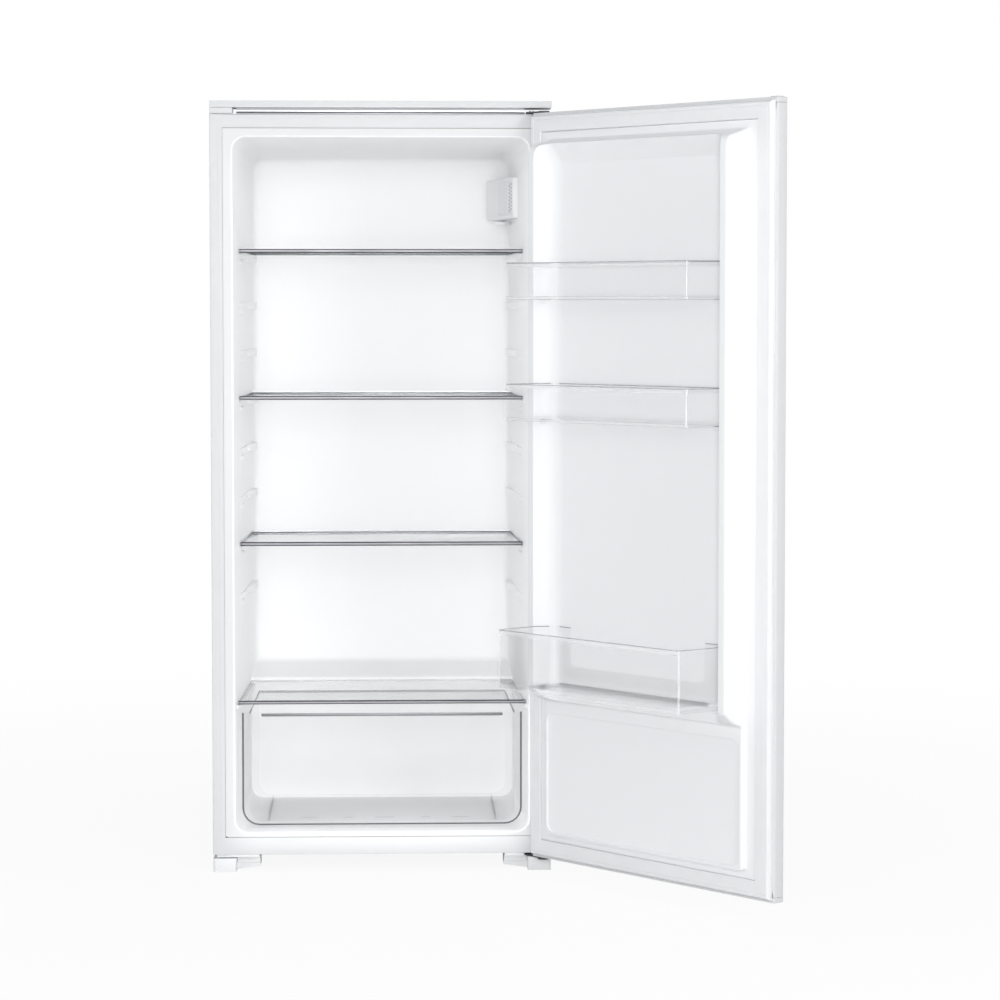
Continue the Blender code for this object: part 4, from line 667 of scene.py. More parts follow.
class REFRIGERATOR_OT_materials(bpy.types.Operator):
    """Make the materials and give them to the frame's own nodes"""

    bl_idname = "refrigerator.materials"
    bl_label = "Materials"
    bl_options = {"REGISTER", "UNDO"}

    def execute(self, context):
        f = context.scene.refrigerator_finish
        finishes.update(
            {
                "white_painted_steel": enamel("painted_steel", f.enamel),
                "galvanised_steel": galvanised("zinc_coated_steel", f.zinc),
                "satin_aluminium": brushed("brushed_aluminium", f.aluminium, "X", 0.42),
                "white_moulded_plastic": moulded("white_plastic", f.plastic, 0.5),
                # Painted shade on the door liner and the lamp housing
                "shaded_door_plastic": moulded("shaded_door_plastic", f.shaded_door_plastic),
                "coated_back_panel": moulded("coated_board", f.backing, 0.6, 300.0, 0.2),
                "insulating_foam": foamed("rigid_foam", f.foam),
                "shelf_glass": clear("safety_glass", f.shelf_glass, 0.03, 0.17, 0.03),
                # Glass tint with painted shade along the shelves' edges
                "glass_edge": clear("glass_edge", f.glass_edge, 0.85, 1.0, 0.12),
                "clear_plastic": clear("clear_styrene", f.clear_plastic, 0.02, 0.25, 0.08, 0.6),
                # Glass tint with painted shade along the cover's edges
                "cover_tint_and_shade": clear("cover_glass_tint_and_shade", f.cover_tint_and_shade, 0.45, 0.8, 0.1),
                # Painted shadow round the drawer's front
                "drawer_painted_shadow": clear("styrene_painted_shadow", f.drawer_painted_shadow, 0.85, 1.0, 0.15),
                # Painted shade along clear edges, and the lens's dots
                "edge_shade_and_dots": clear("styrene_shade_and_dots", f.edge_shade_and_dots, 0.55, 0.9, 0.15),
                # Painted highlight on the trays' corners and bands
                "plastic_painted_highlight": clear("styrene_painted_highlight", f.plastic_painted_highlight, 0.35, 0.6, 0.12),
                # Painted reflection on the rear trims and the strip
                "aluminium_painted_reflection": brushed("aluminium_painted_reflection", f.aluminium_painted_reflection, "X", 0.4),
                "lens_plastic": moulded("lens_plastic", f.lens_plastic, 0.35),
                # Painted shade on the liner's front flange
                "liner_flange": moulded("liner_plastic_painted_shade", f.liner_flange, 0.5),
                "foot_plastic": moulded("foot_plastic", f.foot_plastic, 0.5),
                # Painted shade on the trims and the grip
                "trim_painted_shade": brushed("aluminium_painted_shade", f.trim_painted_shade, "X", 0.4),
                "grey_rubber": rubber("soft_vinyl", f.gasket),
                "dark_steel": lacquered("dark_steel_paint", f.dark_steel),
                "black_painted_steel": lacquered("black_wire_paint", f.black_paint),
                "copper_pipe": brushed("drawn_copper", f.copper, "Z", 0.28),
            }
        )
        slots = {row["node"]: row.get("material") or row.get("slot") for row in frame["record"].get("subparts", [])}
        for name, node in frame["nodes"].items():
            slot = node.data.materials[0].name.split(".")[0] if node.data.materials else slots.get(name)
            pick(node)
            node.data.materials.clear()
            node.data.materials.append(finish(slot))
        return {"FINISHED"}


class REFRIGERATOR_OT_liner(bpy.types.Operator):
    """Model the cabinet's inner liner with its shelf ribs"""

    bl_idname = "refrigerator.liner"
    bl_label = "Inner liner"
    bl_options = {"REGISTER", "UNDO"}

    def execute(self, context):
        s = context.scene.refrigerator_cabinet
        half, depth, bottom, top = 0.2496, 0.457, 0.0559, 1.1819
        mouth_half, mouth_low, mouth_high = 0.242, 0.060, 1.172
        cavity = cut(self.cavity(s, 0.0), self.ribs(s))
        body = cut(block("inner_liner_skin", at(-half, 0, bottom), at(half, depth, top)), cavity)
        bevel_edges(
            body,
            s.lip,
            5,
            lambda p, d: abs(p.y - FRONT) < NEAR and abs(p.x) < mouth_half and mouth_low < p.z < mouth_high,
        )
        thin_shell(body, half, depth, bottom, top, s.wall)
        coat(body, "white_moulded_plastic")
        # Painted shade: the liner's front flange takes a darker copy of its plastic
        streak(body, "liner_flange", lambda p, n: p.y < FRONT + NEAR and n.y < -ALONG)
        place(body, "white_moulded_plastic", "cabinet", "inner_liner")
        self.foam(s)
        return {"FINISHED"}

    def foam(self, s):
        """Models the foam between the liner and the casing."""
        half, front, back, bottom, top = 0.2689, 0.0150, 0.4878, 0.0291, 1.2023
        recess, recess_top = 0.3873, 0.2557
        path = [(front, bottom), (0.3297, bottom), (recess, 0.0867), (recess, 0.2356), (0.4750, recess_top)]
        path += [(back, recess_top), (back, top), (front, top)]
        foam = prism("cabinet_foam", [at(-half, d, z) for d, z in path], (2 * half, 0, 0))
        bed_half, bed_bottom, bed_top = 0.1805, 0.4795, 1.0405
        cut(
            foam,
            self.cavity(s, s.wall + CLEARANCE),
            block("evaporator_bed", at(-bed_half, 0.45, bed_bottom), at(bed_half, 0.4603, bed_top)),
            disc("drain_bore", at(0.060, 0.425, 0.24), 0.0083, 0.12, "Z", 24),
            disc("pipe_bore", at(0.175, 0.4612, 0.36), 0.0042, 0.26, "Z", 20),
        )
        place(foam, "insulating_foam", "cabinet", "insulation_foam")

    @staticmethod
    def cavity(s, grow):
        """The room inside the liner, or that room grown by a distance on every side."""
        half, depth = CAVITY_HALF + grow, 0.455 + grow
        bottom, top, top_back = 0.064 - grow, 1.1677 + grow, 1.1540 + grow
        hump, hump_low, hump_high = 0.360 + grow, 0.2705 - grow, 0.2876 - grow
        above_hump, hump_edge = 0.30, 0.0045
        lead = 0.03
        outline = [
            at(-half, -lead, bottom),
            at(-half, hump, bottom),
            at(-half, hump, hump_low),
            at(-half, depth, hump_high),
            at(-half, depth, top_back),
            at(-half, -lead, top + (top - top_back) * lead / depth),
        ]
        cavity = prism("cavity", outline, (2 * half, 0, 0))
        taper = s.draft / half
        reshape(cavity, lambda p: Vector((p.x * (1 - taper * (p.y - FRONT)), p.y, p.z)))
        front = FRONT - lead + 2 * NEAR
        bevel_edges(
            cavity, s.corner, 7, lambda p, d: p.y > front and abs(d.y) > 0.8 and not hump_low < p.z < above_hump
        )
        bevel_edges(cavity, s.back_corner, 4, lambda p, d: p.y > FRONT + depth - NEAR)
        return bevel_edges(
            cavity, hump_edge, 3, lambda p, d: abs(p.y - FRONT - hump) < NEAR and abs(p.z - hump_low) < NEAR
        )

    @staticmethod
    def ribs(s):
        """All the ribs that carry the shelves and the cover, as one object."""

        def lug(outside, low, high, *steps):
            """A rib on the left wall, whose steps say how far it stands out at each depth."""
            wall = [at(-outside, d, low) for d, reach in reversed(steps)]
            face = [at(s.draft * d + reach - CAVITY_HALF, d, low) for d, reach in steps]
            return soften(prism("lug", face + wall, (0, 0, high - low)), 0.0012, 2)

        # Each has its own back and top plane, so that no two faces coincide
        parts = [
            lug(0.2460, -0.0060, -0.0001, (0.118, 0.0005), (0.150, 0.0022), (0.402, 0.0022), (0.408, 0.0005)),
            lug(0.2463, -0.0085, -0.0002, (0.150, 0.0005), (0.196, 0.0047), (0.212, 0.0047), (0.222, 0.0010)),
            lug(0.2466, -0.0120, 0.0, (0.296, 0.0010), (0.332, 0.0090), (0.398, 0.0090), (0.404, 0.0010)),
            lug(0.2469, -0.0190, -0.0120, (0.136, 0.0004), (0.180, 0.0030), (0.196, 0.0004)),
        ]
        rib = weld(*parts)
        levels = [copied(rib, f"rib_{i}", (0, 0, s.first_rib + s.rib_pitch * i)) for i in range(s.ribs)]
        bpy.data.objects.remove(rib, do_unlink=True)
        ledge = lug(0.2460, 0.2552, 0.2622, (0.047, 0.0008), (0.075, 0.0080), (0.340, 0.0080), (0.346, 0.0008))
        left = gather(levels[0], *levels[1:], ledge)
        return gather(left, mirrored(left, "ribs_right"))


class REFRIGERATOR_OT_door_liner(bpy.types.Operator):
    """Model the door's liner with its two ridges, its recess and its lower panel"""

    bl_idname = "refrigerator.door_liner"
    bl_label = "Door liner"
    bl_options = {"REGISTER", "UNDO"}

    half = DOOR_HALF - 0.049
    bottom, top = 0.0705, 1.1640
    face, back = -0.0093, -0.03

    def execute(self, context):
        s = context.scene.refrigerator_door
        half = self.half
        bulge = cut(self.bulge(s), self.recess(s))
        rim = 0.0062
        panel = block("panel", at(rim - half, s.panel, 0.0750), at(half - rim, 0.02, 0.2640))
        bevel_edges(panel, 0.015, 5, lambda p, d: abs(d.y) > ALONG)
        bevel_edges(panel, 0.0018, 3, lambda p, d: p.y < FRONT + s.panel + CLOSE)
        cut(bulge, panel)

        flange_half, flange_bottom, flange_top = 0.266, 0.0305, 1.2010
        plate = block(
            "door_liner_skin", at(-flange_half, self.back, flange_bottom), at(flange_half, self.face, flange_top)
        )
        plinth = block("plinth", at(-0.2387, self.back, 0.0578), at(0.2387, s.plinth, 1.1737))
        foot = FRONT + s.plinth
        bevel_edges(plinth, 0.0025, 3, lambda p, d: p.y > foot - NEAR)
        weld(plate, plinth, bulge)
        foot_low, foot_high, foot_half = 0.065, 1.170, half + 0.004
        bevel_edges(
            plate,
            0.002,
            3,
            lambda p, d: abs(p.y - foot) < 2 * CLOSE and abs(p.x) < foot_half and foot_low < p.z < foot_high,
        )
        thin_shell(plate, flange_half, self.back, flange_bottom, flange_top, s.wall)
        swing_open(plate)
        # The door liner takes the darker copy of the white plastic, a painted shade
        place(plate, "white_moulded_plastic", "door", "door_liner", look="shaded_door_plastic")

        core = block("door_core", at(-0.262, -0.0300, 0.0360), at(0.262, -0.0125, 1.1950))
        place(swing_open(soften(core, 0.004, 2)), "insulating_foam", "door", "door_foam")
        return {"FINISHED"}

    def bulge(self, s):
        """The raised part of the liner, whose lower end falls to a plateau."""
        half, back, bottom, top, plateau = self.half, self.back, self.bottom, self.top, 0.0070
        outline = [(back, top), (self.face, top)]
        outline += bend((0.034, top - 0.013), (s.crest, top - 0.017), (s.crest, top - 0.038))
        fall = [(s.crest, 0.308), (0.0415, 0.3035), (0.0360, 0.2985), (0.0260, 0.2905), (0.0150, 0.2860)]
        fall += [(0.0095, 0.2838), (0.0074, 0.2812), (plateau, 0.2775)]
        outline += [*smooth_curve(fall), (plateau, bottom), (back, bottom)]
        bulge = prism("bulge", [at(-half, t, z) for t, z in outline], (2 * half, 0, 0))
        front = FRONT + back + 2 * NEAR
        return bevel_edges(bulge, s.edge, 4, lambda p, d: abs(abs(p.x) - half) < NEAR and p.y > front)

    def recess(self, s):
        """The room between the two ridges, with its sloping sides and ceiling."""
        floor, slope, top_slope = 0.0130, 0.018, 0.0644
        rise = s.crest - floor
        half = self.half - s.crest_width - slope
        bottom, top = 0.261, self.top - 0.0405
        outline = [(floor, bottom), (floor + 2 * rise, bottom), (floor + 2 * rise, top + 2 * top_slope), (floor, top)]
        space = prism("recess", [at(-half, t, z) for t, z in outline], (2 * half, 0, 0))
        over = FRONT + floor + rise
        reshape(space, lambda p: Vector((p.x + math.copysign(2 * slope, p.x), p.y, p.z)) if p.y > over else p)
        bevel_edges(space, 0.018, 6, lambda p, d: abs(abs(p.x) - half) < 0.04 and abs(d.x) < 0.5 and p.z > 0.3)
        return bevel_edges(space, 0.010, 5, lambda p, d: abs(p.y - FRONT - floor) < 2 * NEAR)


class REFRIGERATOR_OT_gasket(bpy.types.Operator):
    """Model the door's gasket with its lips"""

    bl_idname = "refrigerator.gasket"
    bl_label = "Door gasket"
    bl_options = {"REGISTER", "UNDO"}

    def execute(self, context):
        deselect()
        low, high = at(-0.2655, -0.0090, 0.0310), at(0.2655, -0.0090, 1.2005)
        bpy.ops.mesh.primitive_plane_add(size=1, location=(low + high) / 2, rotation=(-math.pi / 2, 0, 0))
        gasket = named("door_gasket_ring")
        # The width and the height of each fold, from the outer edge inwards
        folds = (
            (0.0004, 0.0030),
            (0.0020, 0.0036),
            (0.0006, -0.0007),
            (0.0007, 0.0008),
            (0.0035, 0.0007),
            (0.0006, -0.0007),
            (0.0007, 0.0007),
            (0.0040, 0.0007),
            (0.0060, 0.0004),
            (0.0065, -0.0002),
            (0.0010, -0.0009),
            (0.0010, -0.0040),
        )
        with editing(gasket):
            bpy.ops.mesh.select_all(action="SELECT")
            bpy.ops.transform.resize(value=(high.x - low.x, 1, high.z - low.z))
            for width, height in folds:
                bpy.ops.mesh.inset(thickness=width, depth=height, use_even_offset=True)
            bpy.ops.mesh.delete(type="FACE")
        place(swing_open(gasket), "grey_rubber", "door", "door_gasket", angle=25)
        return {"FINISHED"}


class REFRIGERATOR_OT_door_shell(bpy.types.Operator):
    """Model the door's steel pan and its two end caps"""

    bl_idname = "refrigerator.door_shell"
    bl_label = "Door shell"
    bl_options = {"REGISTER", "UNDO"}

    def execute(self, context):
        low, high, edge = -0.0315, -0.0111, 0.0028

        def outer_corner(p, d):
            return abs(p.x) > DOOR_HALF - 2 * NEAR and abs(d.z) > ALONG

        pan = block("door_pan", at(-DOOR_HALF, low, 0.0348), at(DOOR_HALF, high, 1.1967))
        bevel_edges(pan, edge, 4, outer_corner)
        hole_heights = (1.1577, 1.1476, 1.1371, 1.1174, 0.1204, 0.1009, 0.0900, 0.0807)
        cut(pan, *(disc("hole", at(-DOOR_HALF, -0.022, z), 0.0017, 0.0012, "X", 12) for z in hole_heights))
        with editing(pan):
            choose("FACE", lambda p, n: n.y > ALONG and p.y > FRONT + high - NEAR)
            bpy.ops.mesh.inset(thickness=0.009, depth=0)
            bpy.ops.mesh.delete(type="FACE")
        drop_faces(pan, lambda p, n: abs(n.z) > ALONG and abs(p.x) < 0.05)
        place(swing_open(pan), "white_painted_steel", "door", "door_skin")
        for name, bottom, top, outer in (
            ("door_cap_bottom", 0.0265, 0.0345, 0.0265),
            ("door_cap_top", 1.1970, 1.2050, 1.2050),
        ):
            cap = block(name + "_moulding", at(-DOOR_HALF, low, bottom), at(DOOR_HALF, high, top))
            if outer == top:
                weld(cap, block("tab", at(-0.267, low + 0.004, top - 0.002), at(-0.251, high - 0.003, top + 0.0015)))
            cut(cap, disc("bush_seat", Vector((HINGE_SHUT.x, HINGE_SHUT.y, outer)), 0.0057, 0.030, "Z", 32))
            bevel_edges(cap, edge, 4, outer_corner)
            soften(cap, 0.0009, 3)
            place(swing_open(cap), "white_painted_steel", "door", name)
        return {"FINISHED"}


class REFRIGERATOR_OT_shelves(bpy.types.Operator):
    """Model the glass shelves and the crisper's cover with their metal trims"""

    bl_idname = "refrigerator.shelves"
    bl_label = "Shelves"
    bl_options = {"REGISTER", "UNDO"}

    def execute(self, context):
        scene = context.scene
        s = scene.refrigerator_shelves
        seat = 0.0010
        plate = self.plate("shelf", 0.2285, 0.2198, 0.119, 0.389, s.upper, s.glass, "glass_edge")
        front = self.channel("front_trim", 0.2290, 0.118, 1, s.upper - seat)
        rear = self.channel("rear_trim", 0.2198, 0.390, -1, s.upper - seat)
        for i, body in enumerate(("upper_shelf", "middle_shelf", "lower_shelf")):
            drop = (0, 0, -s.spacing * i * scene.refrigerator_cabinet.rib_pitch)
            n = i + 1
            for start, name, slot, node in (
                (plate, f"shelf_{n}_plate", "shelf_glass", f"shelf_glass_{n}"),
                (front, f"shelf_{n}_front_channel", "satin_aluminium", f"shelf_front_trim_{n}"),
                (rear, f"shelf_{n}_rear_channel", "satin_aluminium", f"shelf_rear_trim_{n}"),
            ):
                place(copied(start, name, drop), slot, body, node)
        for start in (plate, front, rear):
            bpy.data.objects.remove(start, do_unlink=True)
        cover = self.plate("cover_plate", 0.2300, 0.2212, 0.051, 0.347, s.cover, s.glass, "cover_tint_and_shade")
        place(cover, "shelf_glass", "cover", "crisper_cover")
        low, lower = s.cover - 0.0007, 0.85
        trim = self.channel("cover_channel", 0.2310, 0.050, 1, low)
        reshape(trim, lambda p: Vector((p.x, p.y, low + (p.z - low) * lower)))
        place(trim, "satin_aluminium", "cover", "crisper_cover_trim")
        return {"FINISHED"}

    @staticmethod
    def plate(name, half, rear_half, front, rear, low, thickness, edge):
        """A glass plate with ground and polished edges, a little narrower at its rear."""
        plate = block(name, at(-half, front, low), at(half, rear, low + thickness))
        middle = FRONT + (front + rear) / 2
        reshape(plate, lambda p: Vector((math.copysign(rear_half, p.x), p.y, p.z)) if p.y > middle else p)
        bevel_edges(plate, 0.004, 3, lambda p, d: abs(d.z) > ALONG)
        soften(plate, 0.0006, 2, 60)
        coat(plate, "shelf_glass")
        # The ground edges take the edge finish: the glass's tint with painted shade
        return streak(plate, edge, lambda p, n: abs(n.z) < 0.6)

    @staticmethod
    def channel(name, half, start, way, low):
        """A metal channel that holds a glass edge, with closed ends."""
        height, reach, wall, inner = 0.0060, 0.0110, 0.0007, 0.0009
        side = [(reach, 0.0), (0.0012, 0.0), (0.0004, 0.0004), (0.0, 0.0014), (0.0, 0.0023), (-0.0003, 0.0027)]
        side += [(d, height - z) for d, z in reversed(side)]
        side += [(reach, height - wall), (inner, height - wall), (inner, wall), (reach, wall)]
        bar = prism(name, [at(-half, start + way * max(d, 0.0), low + z) for d, z in side], (2 * half, 0, 0))
        # Painted shade: the front channels' top and bottom bands and ends, and the rear channels' bottom band, take the
        # near-black copy
        band = 0.0017
        if way < 0:
            # Painted reflection: the rear channels take the lighter copy of the aluminium
            coat(bar, "aluminium_painted_reflection")
            return streak(bar, "trim_painted_shade", lambda p, n: p.z < low + band)
        coat(bar, "satin_aluminium")
        end = half - 2 * NEAR
        return streak(bar, "trim_painted_shade", lambda p, n: not band < p.z - low < height - band or abs(p.x) > end)


class REFRIGERATOR_OT_drawer(bpy.types.Operator):
    """Model the clear crisper drawer and its handle trim"""

    bl_idname = "refrigerator.drawer"
    bl_label = "Crisper drawer"
    bl_options = {"REGISTER", "UNDO"}

    def execute(self, context):
        s = context.scene.refrigerator_trays
        front, rear, bottom, top = 0.0500, 0.3480, 0.0705, 0.2490
        narrow = 0.98
        skirt, face_depth, pocket_half, pocket_low, pocket_depth = 0.0043, 0.0100, 0.195, 0.2080, 0.0016
        face = self.pan("drawer_face", 0.2255, bottom - skirt, front, front + face_depth, top, 0.028, 1.0)
        below_top = top - 2 * NEAR
        bevel_edges(face, 0.0045, 5, lambda p, d: p.y < FRONT + front + CLOSE and p.z < below_top)
        over = 0.01
        pocket = block(
            "pocket", at(-pocket_half, front - over, pocket_low), at(pocket_half, front + pocket_depth, top + over)
        )
        bevel_edges(pocket, 0.008, 5, lambda p, d: abs(d.y) > ALONG and p.z < pocket_low + over)
        cut(face, pocket)
        drop_faces(face, lambda p, n: n.y > ALONG or n.z > ALONG and p.z > below_top)
        inner = front + 0.0026
        body = self.pan("drawer_body", 0.2137, bottom + 0.002, inner, rear, top, 0.022, narrow)
        bevel_edges(body, 0.010, 4, lambda p, d: p.y > FRONT + rear - NEAR and p.z < below_top)
        drop_faces(body, lambda p, n: n.y < -ALONG or n.z > ALONG)
        floor = bottom + 0.0021
        parts = [
            soften(block("mark", at(x - w, 0.085, floor), at(x + w, 0.091, floor + 0.0010)), 0.0004, 1)
            for x, w in ((-0.120, 0.014), (-0.055, 0.008), (0.004, 0.016), (0.070, 0.008), (0.128, 0.014))
        ]
        for x in (-0.1850, 0.1850):
            runner = block("runner", at(x - 0.0012, 0.110, 0.0643), at(x + 0.0012, 0.326, floor - CLOSE))
            parts.append(soften(runner, 0.0005, 1))
        wall, rim_half = s.drawer_wall, 0.2140
        rim = self.pan("rim", rim_half, top - 0.0035, inner, rear + CLEARANCE, top, 0.0, narrow)
        room = self.pan("room", rim_half - wall, top - over, inner - CLOSE, rear - wall, top + over, 0.0, narrow)
        parts.append(soften(cut(rim, room), 0.0005, 2))
        gather(body, *parts)
        for shell in (face, body):
            coat(shell, "clear_plastic")
        # Painted shadow: the drawer front's sides and lower edge go dark, for the shadow in the gap between the drawer
        # and the liner
        edge = FRONT + front + face_depth / 2
        streak(face, "drawer_painted_shadow", lambda p, n: -0.98 < n.y and p.y < edge and (abs(p.x) > 0.197 or p.z < 0.10))
        # Painted shade: a dark line along the drawer's top edge
        streak(body, "edge_shade_and_dots", lambda p, n: p.z > top - 0.0008)
        gather(face, body)
        place(face, "clear_plastic", "drawer", "crisper_drawer")

        grip_half, grip_low, grip_high = 0.194, 0.2435, 0.2480
        grip = block("drawer_grip", at(-grip_half, front - 0.0028, grip_low), at(grip_half, front - 0.0003, grip_high))
        coat(soften(grip, 0.0007, 2), "satin_aluminium")
        # Painted shade along the grip's top, bottom and ends
        streak(grip, "trim_painted_shade", lambda p, n: abs(n.z) > 0.4 or abs(n.x) > 0.4)
        place(grip, "satin_aluminium", "drawer", "drawer_handle_trim")
        return {"FINISHED"}

    @staticmethod
    def pan(name, half, bottom, front, rear, top, corner, narrow):
        """A block with rounded lower side edges that gets narrower towards its rear."""
        pan = block(name, at(-half, front, bottom), at(half, rear, top))
        if corner:
            bevel_edges(pan, corner, 6, lambda p, d: abs(d.y) > ALONG and p.z < bottom + 2 * NEAR)
        back = FRONT + rear - 2 * NEAR
        return reshape(pan, lambda p: Vector((p.x * narrow, p.y, p.z)) if p.y > back else p)


class REFRIGERATOR_OT_door_trays(bpy.types.Operator):
    """Model the two door bins and the bottle rack"""

    bl_idname = "refrigerator.door_trays"
    bl_label = "Door bins and rack"
    bl_options = {"REGISTER", "UNDO"}

    def execute(self, context):
        s = context.scene.refrigerator_trays
        upper = self.tray(s, "upper_bin", 0.9120, 0.0565, 0.106, s.tray_wall)
        middle = copied(upper, "middle_bin", (0, 0, -s.bin_pitch))
        rack_bottom = 0.3095
        rack = self.tray(s, "rack_tray", rack_bottom, 0.0935, 0.120, 0.0095)
        gap_half, gap_low, gap_high = 0.150, 0.3420, 0.45
        gap = block("gap", at(-gap_half, 0.0, gap_low), at(gap_half, 0.020, gap_high))
        bevel_edges(gap, 0.010, 5, lambda p, d: abs(d.y) > ALONG and p.z < gap_low + 0.008)
        cut(rack, gap)
        bevel_edges(
            rack, 0.008, 4, lambda p, d: abs(d.y) > ALONG and p.z > 0.40 and abs(abs(p.x) - gap_half) < 0.002
        )
        hollow = block("hollow", at(-0.168, 0.024, rack_bottom - 0.0095), at(0.168, 0.111, rack_bottom + 0.0070))
        cut(rack, soften(hollow, 0.002, 2))
        for tray, body, node in (
            (upper, "upper_door_bin", "bin_upper"),
            (middle, "middle_door_bin", "bin_middle"),
            (rack, "door_rack", "bottle_rack"),
        ):
            place(swing_open(tray), "clear_plastic", body, node)
        return {"FINISHED"}

    @staticmethod
    def tray(s, name, bottom, height, front, floor):
        """An open tray with a thick rim, a foot band and two hooks for the lugs."""
        rear, knee = 0.014, 0.043
        rear_half, knee_half, front_half, hook_place = 0.1868, 0.2045, 0.2020, 0.193
        plan = [(-rear_half, rear), (rear_half, rear), (knee_half, knee), (front_half, front)]
        plan += [(-front_half, front), (-knee_half, knee)]
        top = bottom + height
        rim_low, foot_high = top - s.rim, bottom + s.foot
        lip, lap, round_edge = 0.0012, 0.0004, 0.0005

        def slab(label, inset, low, high, corner):
            part = prism(label, [at(x, t, low) for x, t in inset_plan(plan, inset)], (0, 0, high - low))
            return bevel_edges(part, corner, 5, lambda p, d: abs(d.z) > ALONG)

        room = slab("room", s.tray_wall, bottom + floor, top + 0.01, 0.004)
        bevel_edges(room, 0.002, 2, lambda p, d: abs(p.z - bottom - floor) < CLOSE)
        hooks = []
        for x in (-hook_place, hook_place):
            hook = block("hook", at(x - 0.003, 0.0195, bottom - 0.006), at(x + 0.003, 0.0405, bottom + 0.001))
            hooks.append(soften(hook, 0.001, 2))
        thick = floor > 0.005
        tray = slab(name, 0.0005, bottom, top if thick else foot_high, 0.006)
        rim = tray if thick else slab("rim", 0.0005, rim_low, top, 0.006)
        with editing(rim):
            for z in (top - lip, rim_low, foot_high) if thick else (top - lip,):
                bpy.ops.mesh.select_all(action="SELECT")
                bpy.ops.mesh.bisect(plane_co=(0, 0, z), plane_no=(0, 0, 1))
        if thick:
            with editing(tray):
                choose("FACE", lambda p, n: abs(n.z) < 0.1 and not foot_high < p.z < rim_low)
                bpy.ops.mesh.extrude_region_shrink_fatten(TRANSFORM_OT_shrink_fatten={"value": 0.0005})
            weld(cut(tray, room), *hooks)
            bevel_edges(tray, round_edge, 2, lambda p, d: abs(p.z - top) < CLOSE or abs(p.z - bottom) < CLOSE)
        else:
            wall = slab("wall", 0.0010, foot_high - lap, rim_low + lap, 0.0055)
            drop_faces(wall, lambda p, n: abs(n.z) > ALONG)
            cut(tray, copied(room, "room_below"))
            bevel_edges(tray, round_edge, 2, lambda p, d: abs(p.z - bottom) < CLOSE)
            bevel_edges(cut(rim, room), round_edge, 2, lambda p, d: abs(p.z - top) < CLOSE)
            gather(tray, rim, wall, *hooks)
        coat(tray, "clear_plastic")
        band, step, side = FRONT + front - 0.004, 0.0007, front_half - 0.004

        def rounded(p, n):
            """Whether a face takes the painted highlight: it lies round a front corner, or on the front of the rim or
            of the foot.
            """
            corner = side < abs(p.x) and 0.5 < abs(n.x) < 0.88
            return p.y > band and (corner or n.y > ALONG and (p.z > rim_low or p.z < foot_high))

        def edge(p, n):
            """Whether a face takes the painted shade: it lies along the top, the bottom or the step under the rim or
            over the foot.
            """
            low = abs(n.z) < ALONG and bottom - CLEARANCE < p.z < bottom + step
            level = abs(n.z) > 0.5 and (abs(p.z - rim_low) < step or abs(p.z - foot_high) < step)
            return p.z > top - lip - 0.0001 or low or level

        # Painted highlight round the front corners and on the fronts of the rim and the foot
        streak(tray, "plastic_painted_highlight", rounded)
        # Painted shade: dark lines along the top, the bottom and the steps of the tray
        return streak(tray, "edge_shade_and_dots", edge)


class REFRIGERATOR_OT_housing(bpy.types.Operator):
    """Model the lamp and thermostat housing, its lens and its dial"""

    bl_idname = "refrigerator.housing"
    bl_label = "Lamp housing"
    bl_options = {"REGISTER", "UNDO"}

    def execute(self, context):
        low, high, margin_z = 1.0475, 1.1155, 0.0070
        rear, corner, nose = Vector((0.1935, 0.386)), Vector((0.2105, 0.262)), Vector((0.2181, 0.242))
        plan = [(0.2313, 0.240), (0.2295, 0.428), (0.1800, 0.425), rear, corner, nose]
        shell = prism("lamp_housing", [at(x, d, low) for x, d in plan], (0, 0, high - low))
        bevel_edges(shell, 0.005, 4, lambda p, d: abs(d.z) > ALONG and p.x < 0.205)
        soften(shell, 0.0022, 4)

        def panel(name, start, end, outer, inner, margin):
            """An upright sheet along the housing's face between two places in its plan."""
            along = (end - start).normalized()
            inwards = Vector((-along.y, along.x)) * (1 if along.y < 0 else -1)
            first, last = start + along * margin, end - along * margin
            corners = [first + inwards * outer, last + inwards * outer]
            corners += [last + inwards * inner, first + inwards * inner]
            bottom, top = low + margin_z + margin, high - margin_z - margin
            return prism(name, [at(x, d, bottom) for x, d in corners], (0, 0, top - bottom))

        side = rear.lerp(corner, 0.27), rear.lerp(corner, 0.97)
        front = corner.lerp(nose, 0.10), corner.lerp(nose, 0.92)
        bed, skin = 0.0024, (0.0002, 0.0022, 0.0003)
        cut(shell, panel("window", *side, -0.01, bed, 0), panel("window", *front, -0.006, bed, 0))
        # The housing takes the darker copy of the white plastic, a painted shade
        place(shell, "white_moulded_plastic", "cabinet", "control_housing", look="shaded_door_plastic")

        pane = panel("lamp_pane", *side, *skin)
        grid = panel("lamp_grid", *front, *skin)
        dots = []
        for row in range(8):
            for column in range(2):
                x, d = corner.lerp(nose, 0.34 + 0.34 * column)
                z = low + 0.012 + 0.0059 * row + 0.003 * column
                dots.append(disc("dot", at(x, d, z), 0.0014, 0.0012, "X", 10))
        coat(pane, "lens_plastic")
        soften(coat(grid, "lens_plastic"), 0.0002, 1)
        # The lens's dots take the dark grey of the painted edge shade
        gather(pane, grid, coat(gather(*dots), "edge_shade_and_dots"))
        place(pane, "clear_plastic", "cabinet", "lamp_lens", look="lens_plastic")

        centre = Vector((0.20659341, FRONT + 0.395, 1.0422))
        dial = disc("thermostat_wheel", centre, 0.0122, 0.005, "Z", 48)
        with editing(dial):
            choose("FACE", lambda p, n: abs(n.z) < 0.1)
            bpy.ops.mesh.inset(thickness=0.0004, depth=-0.0005, use_individual=True)
        gather(dial, disc("hub", centre + Vector((0, 0, 0.003)), 0.0044, 0.006, "Z", 24))
        place(dial, "white_moulded_plastic", "dial", "thermostat_dial")
        return {"FINISHED"}


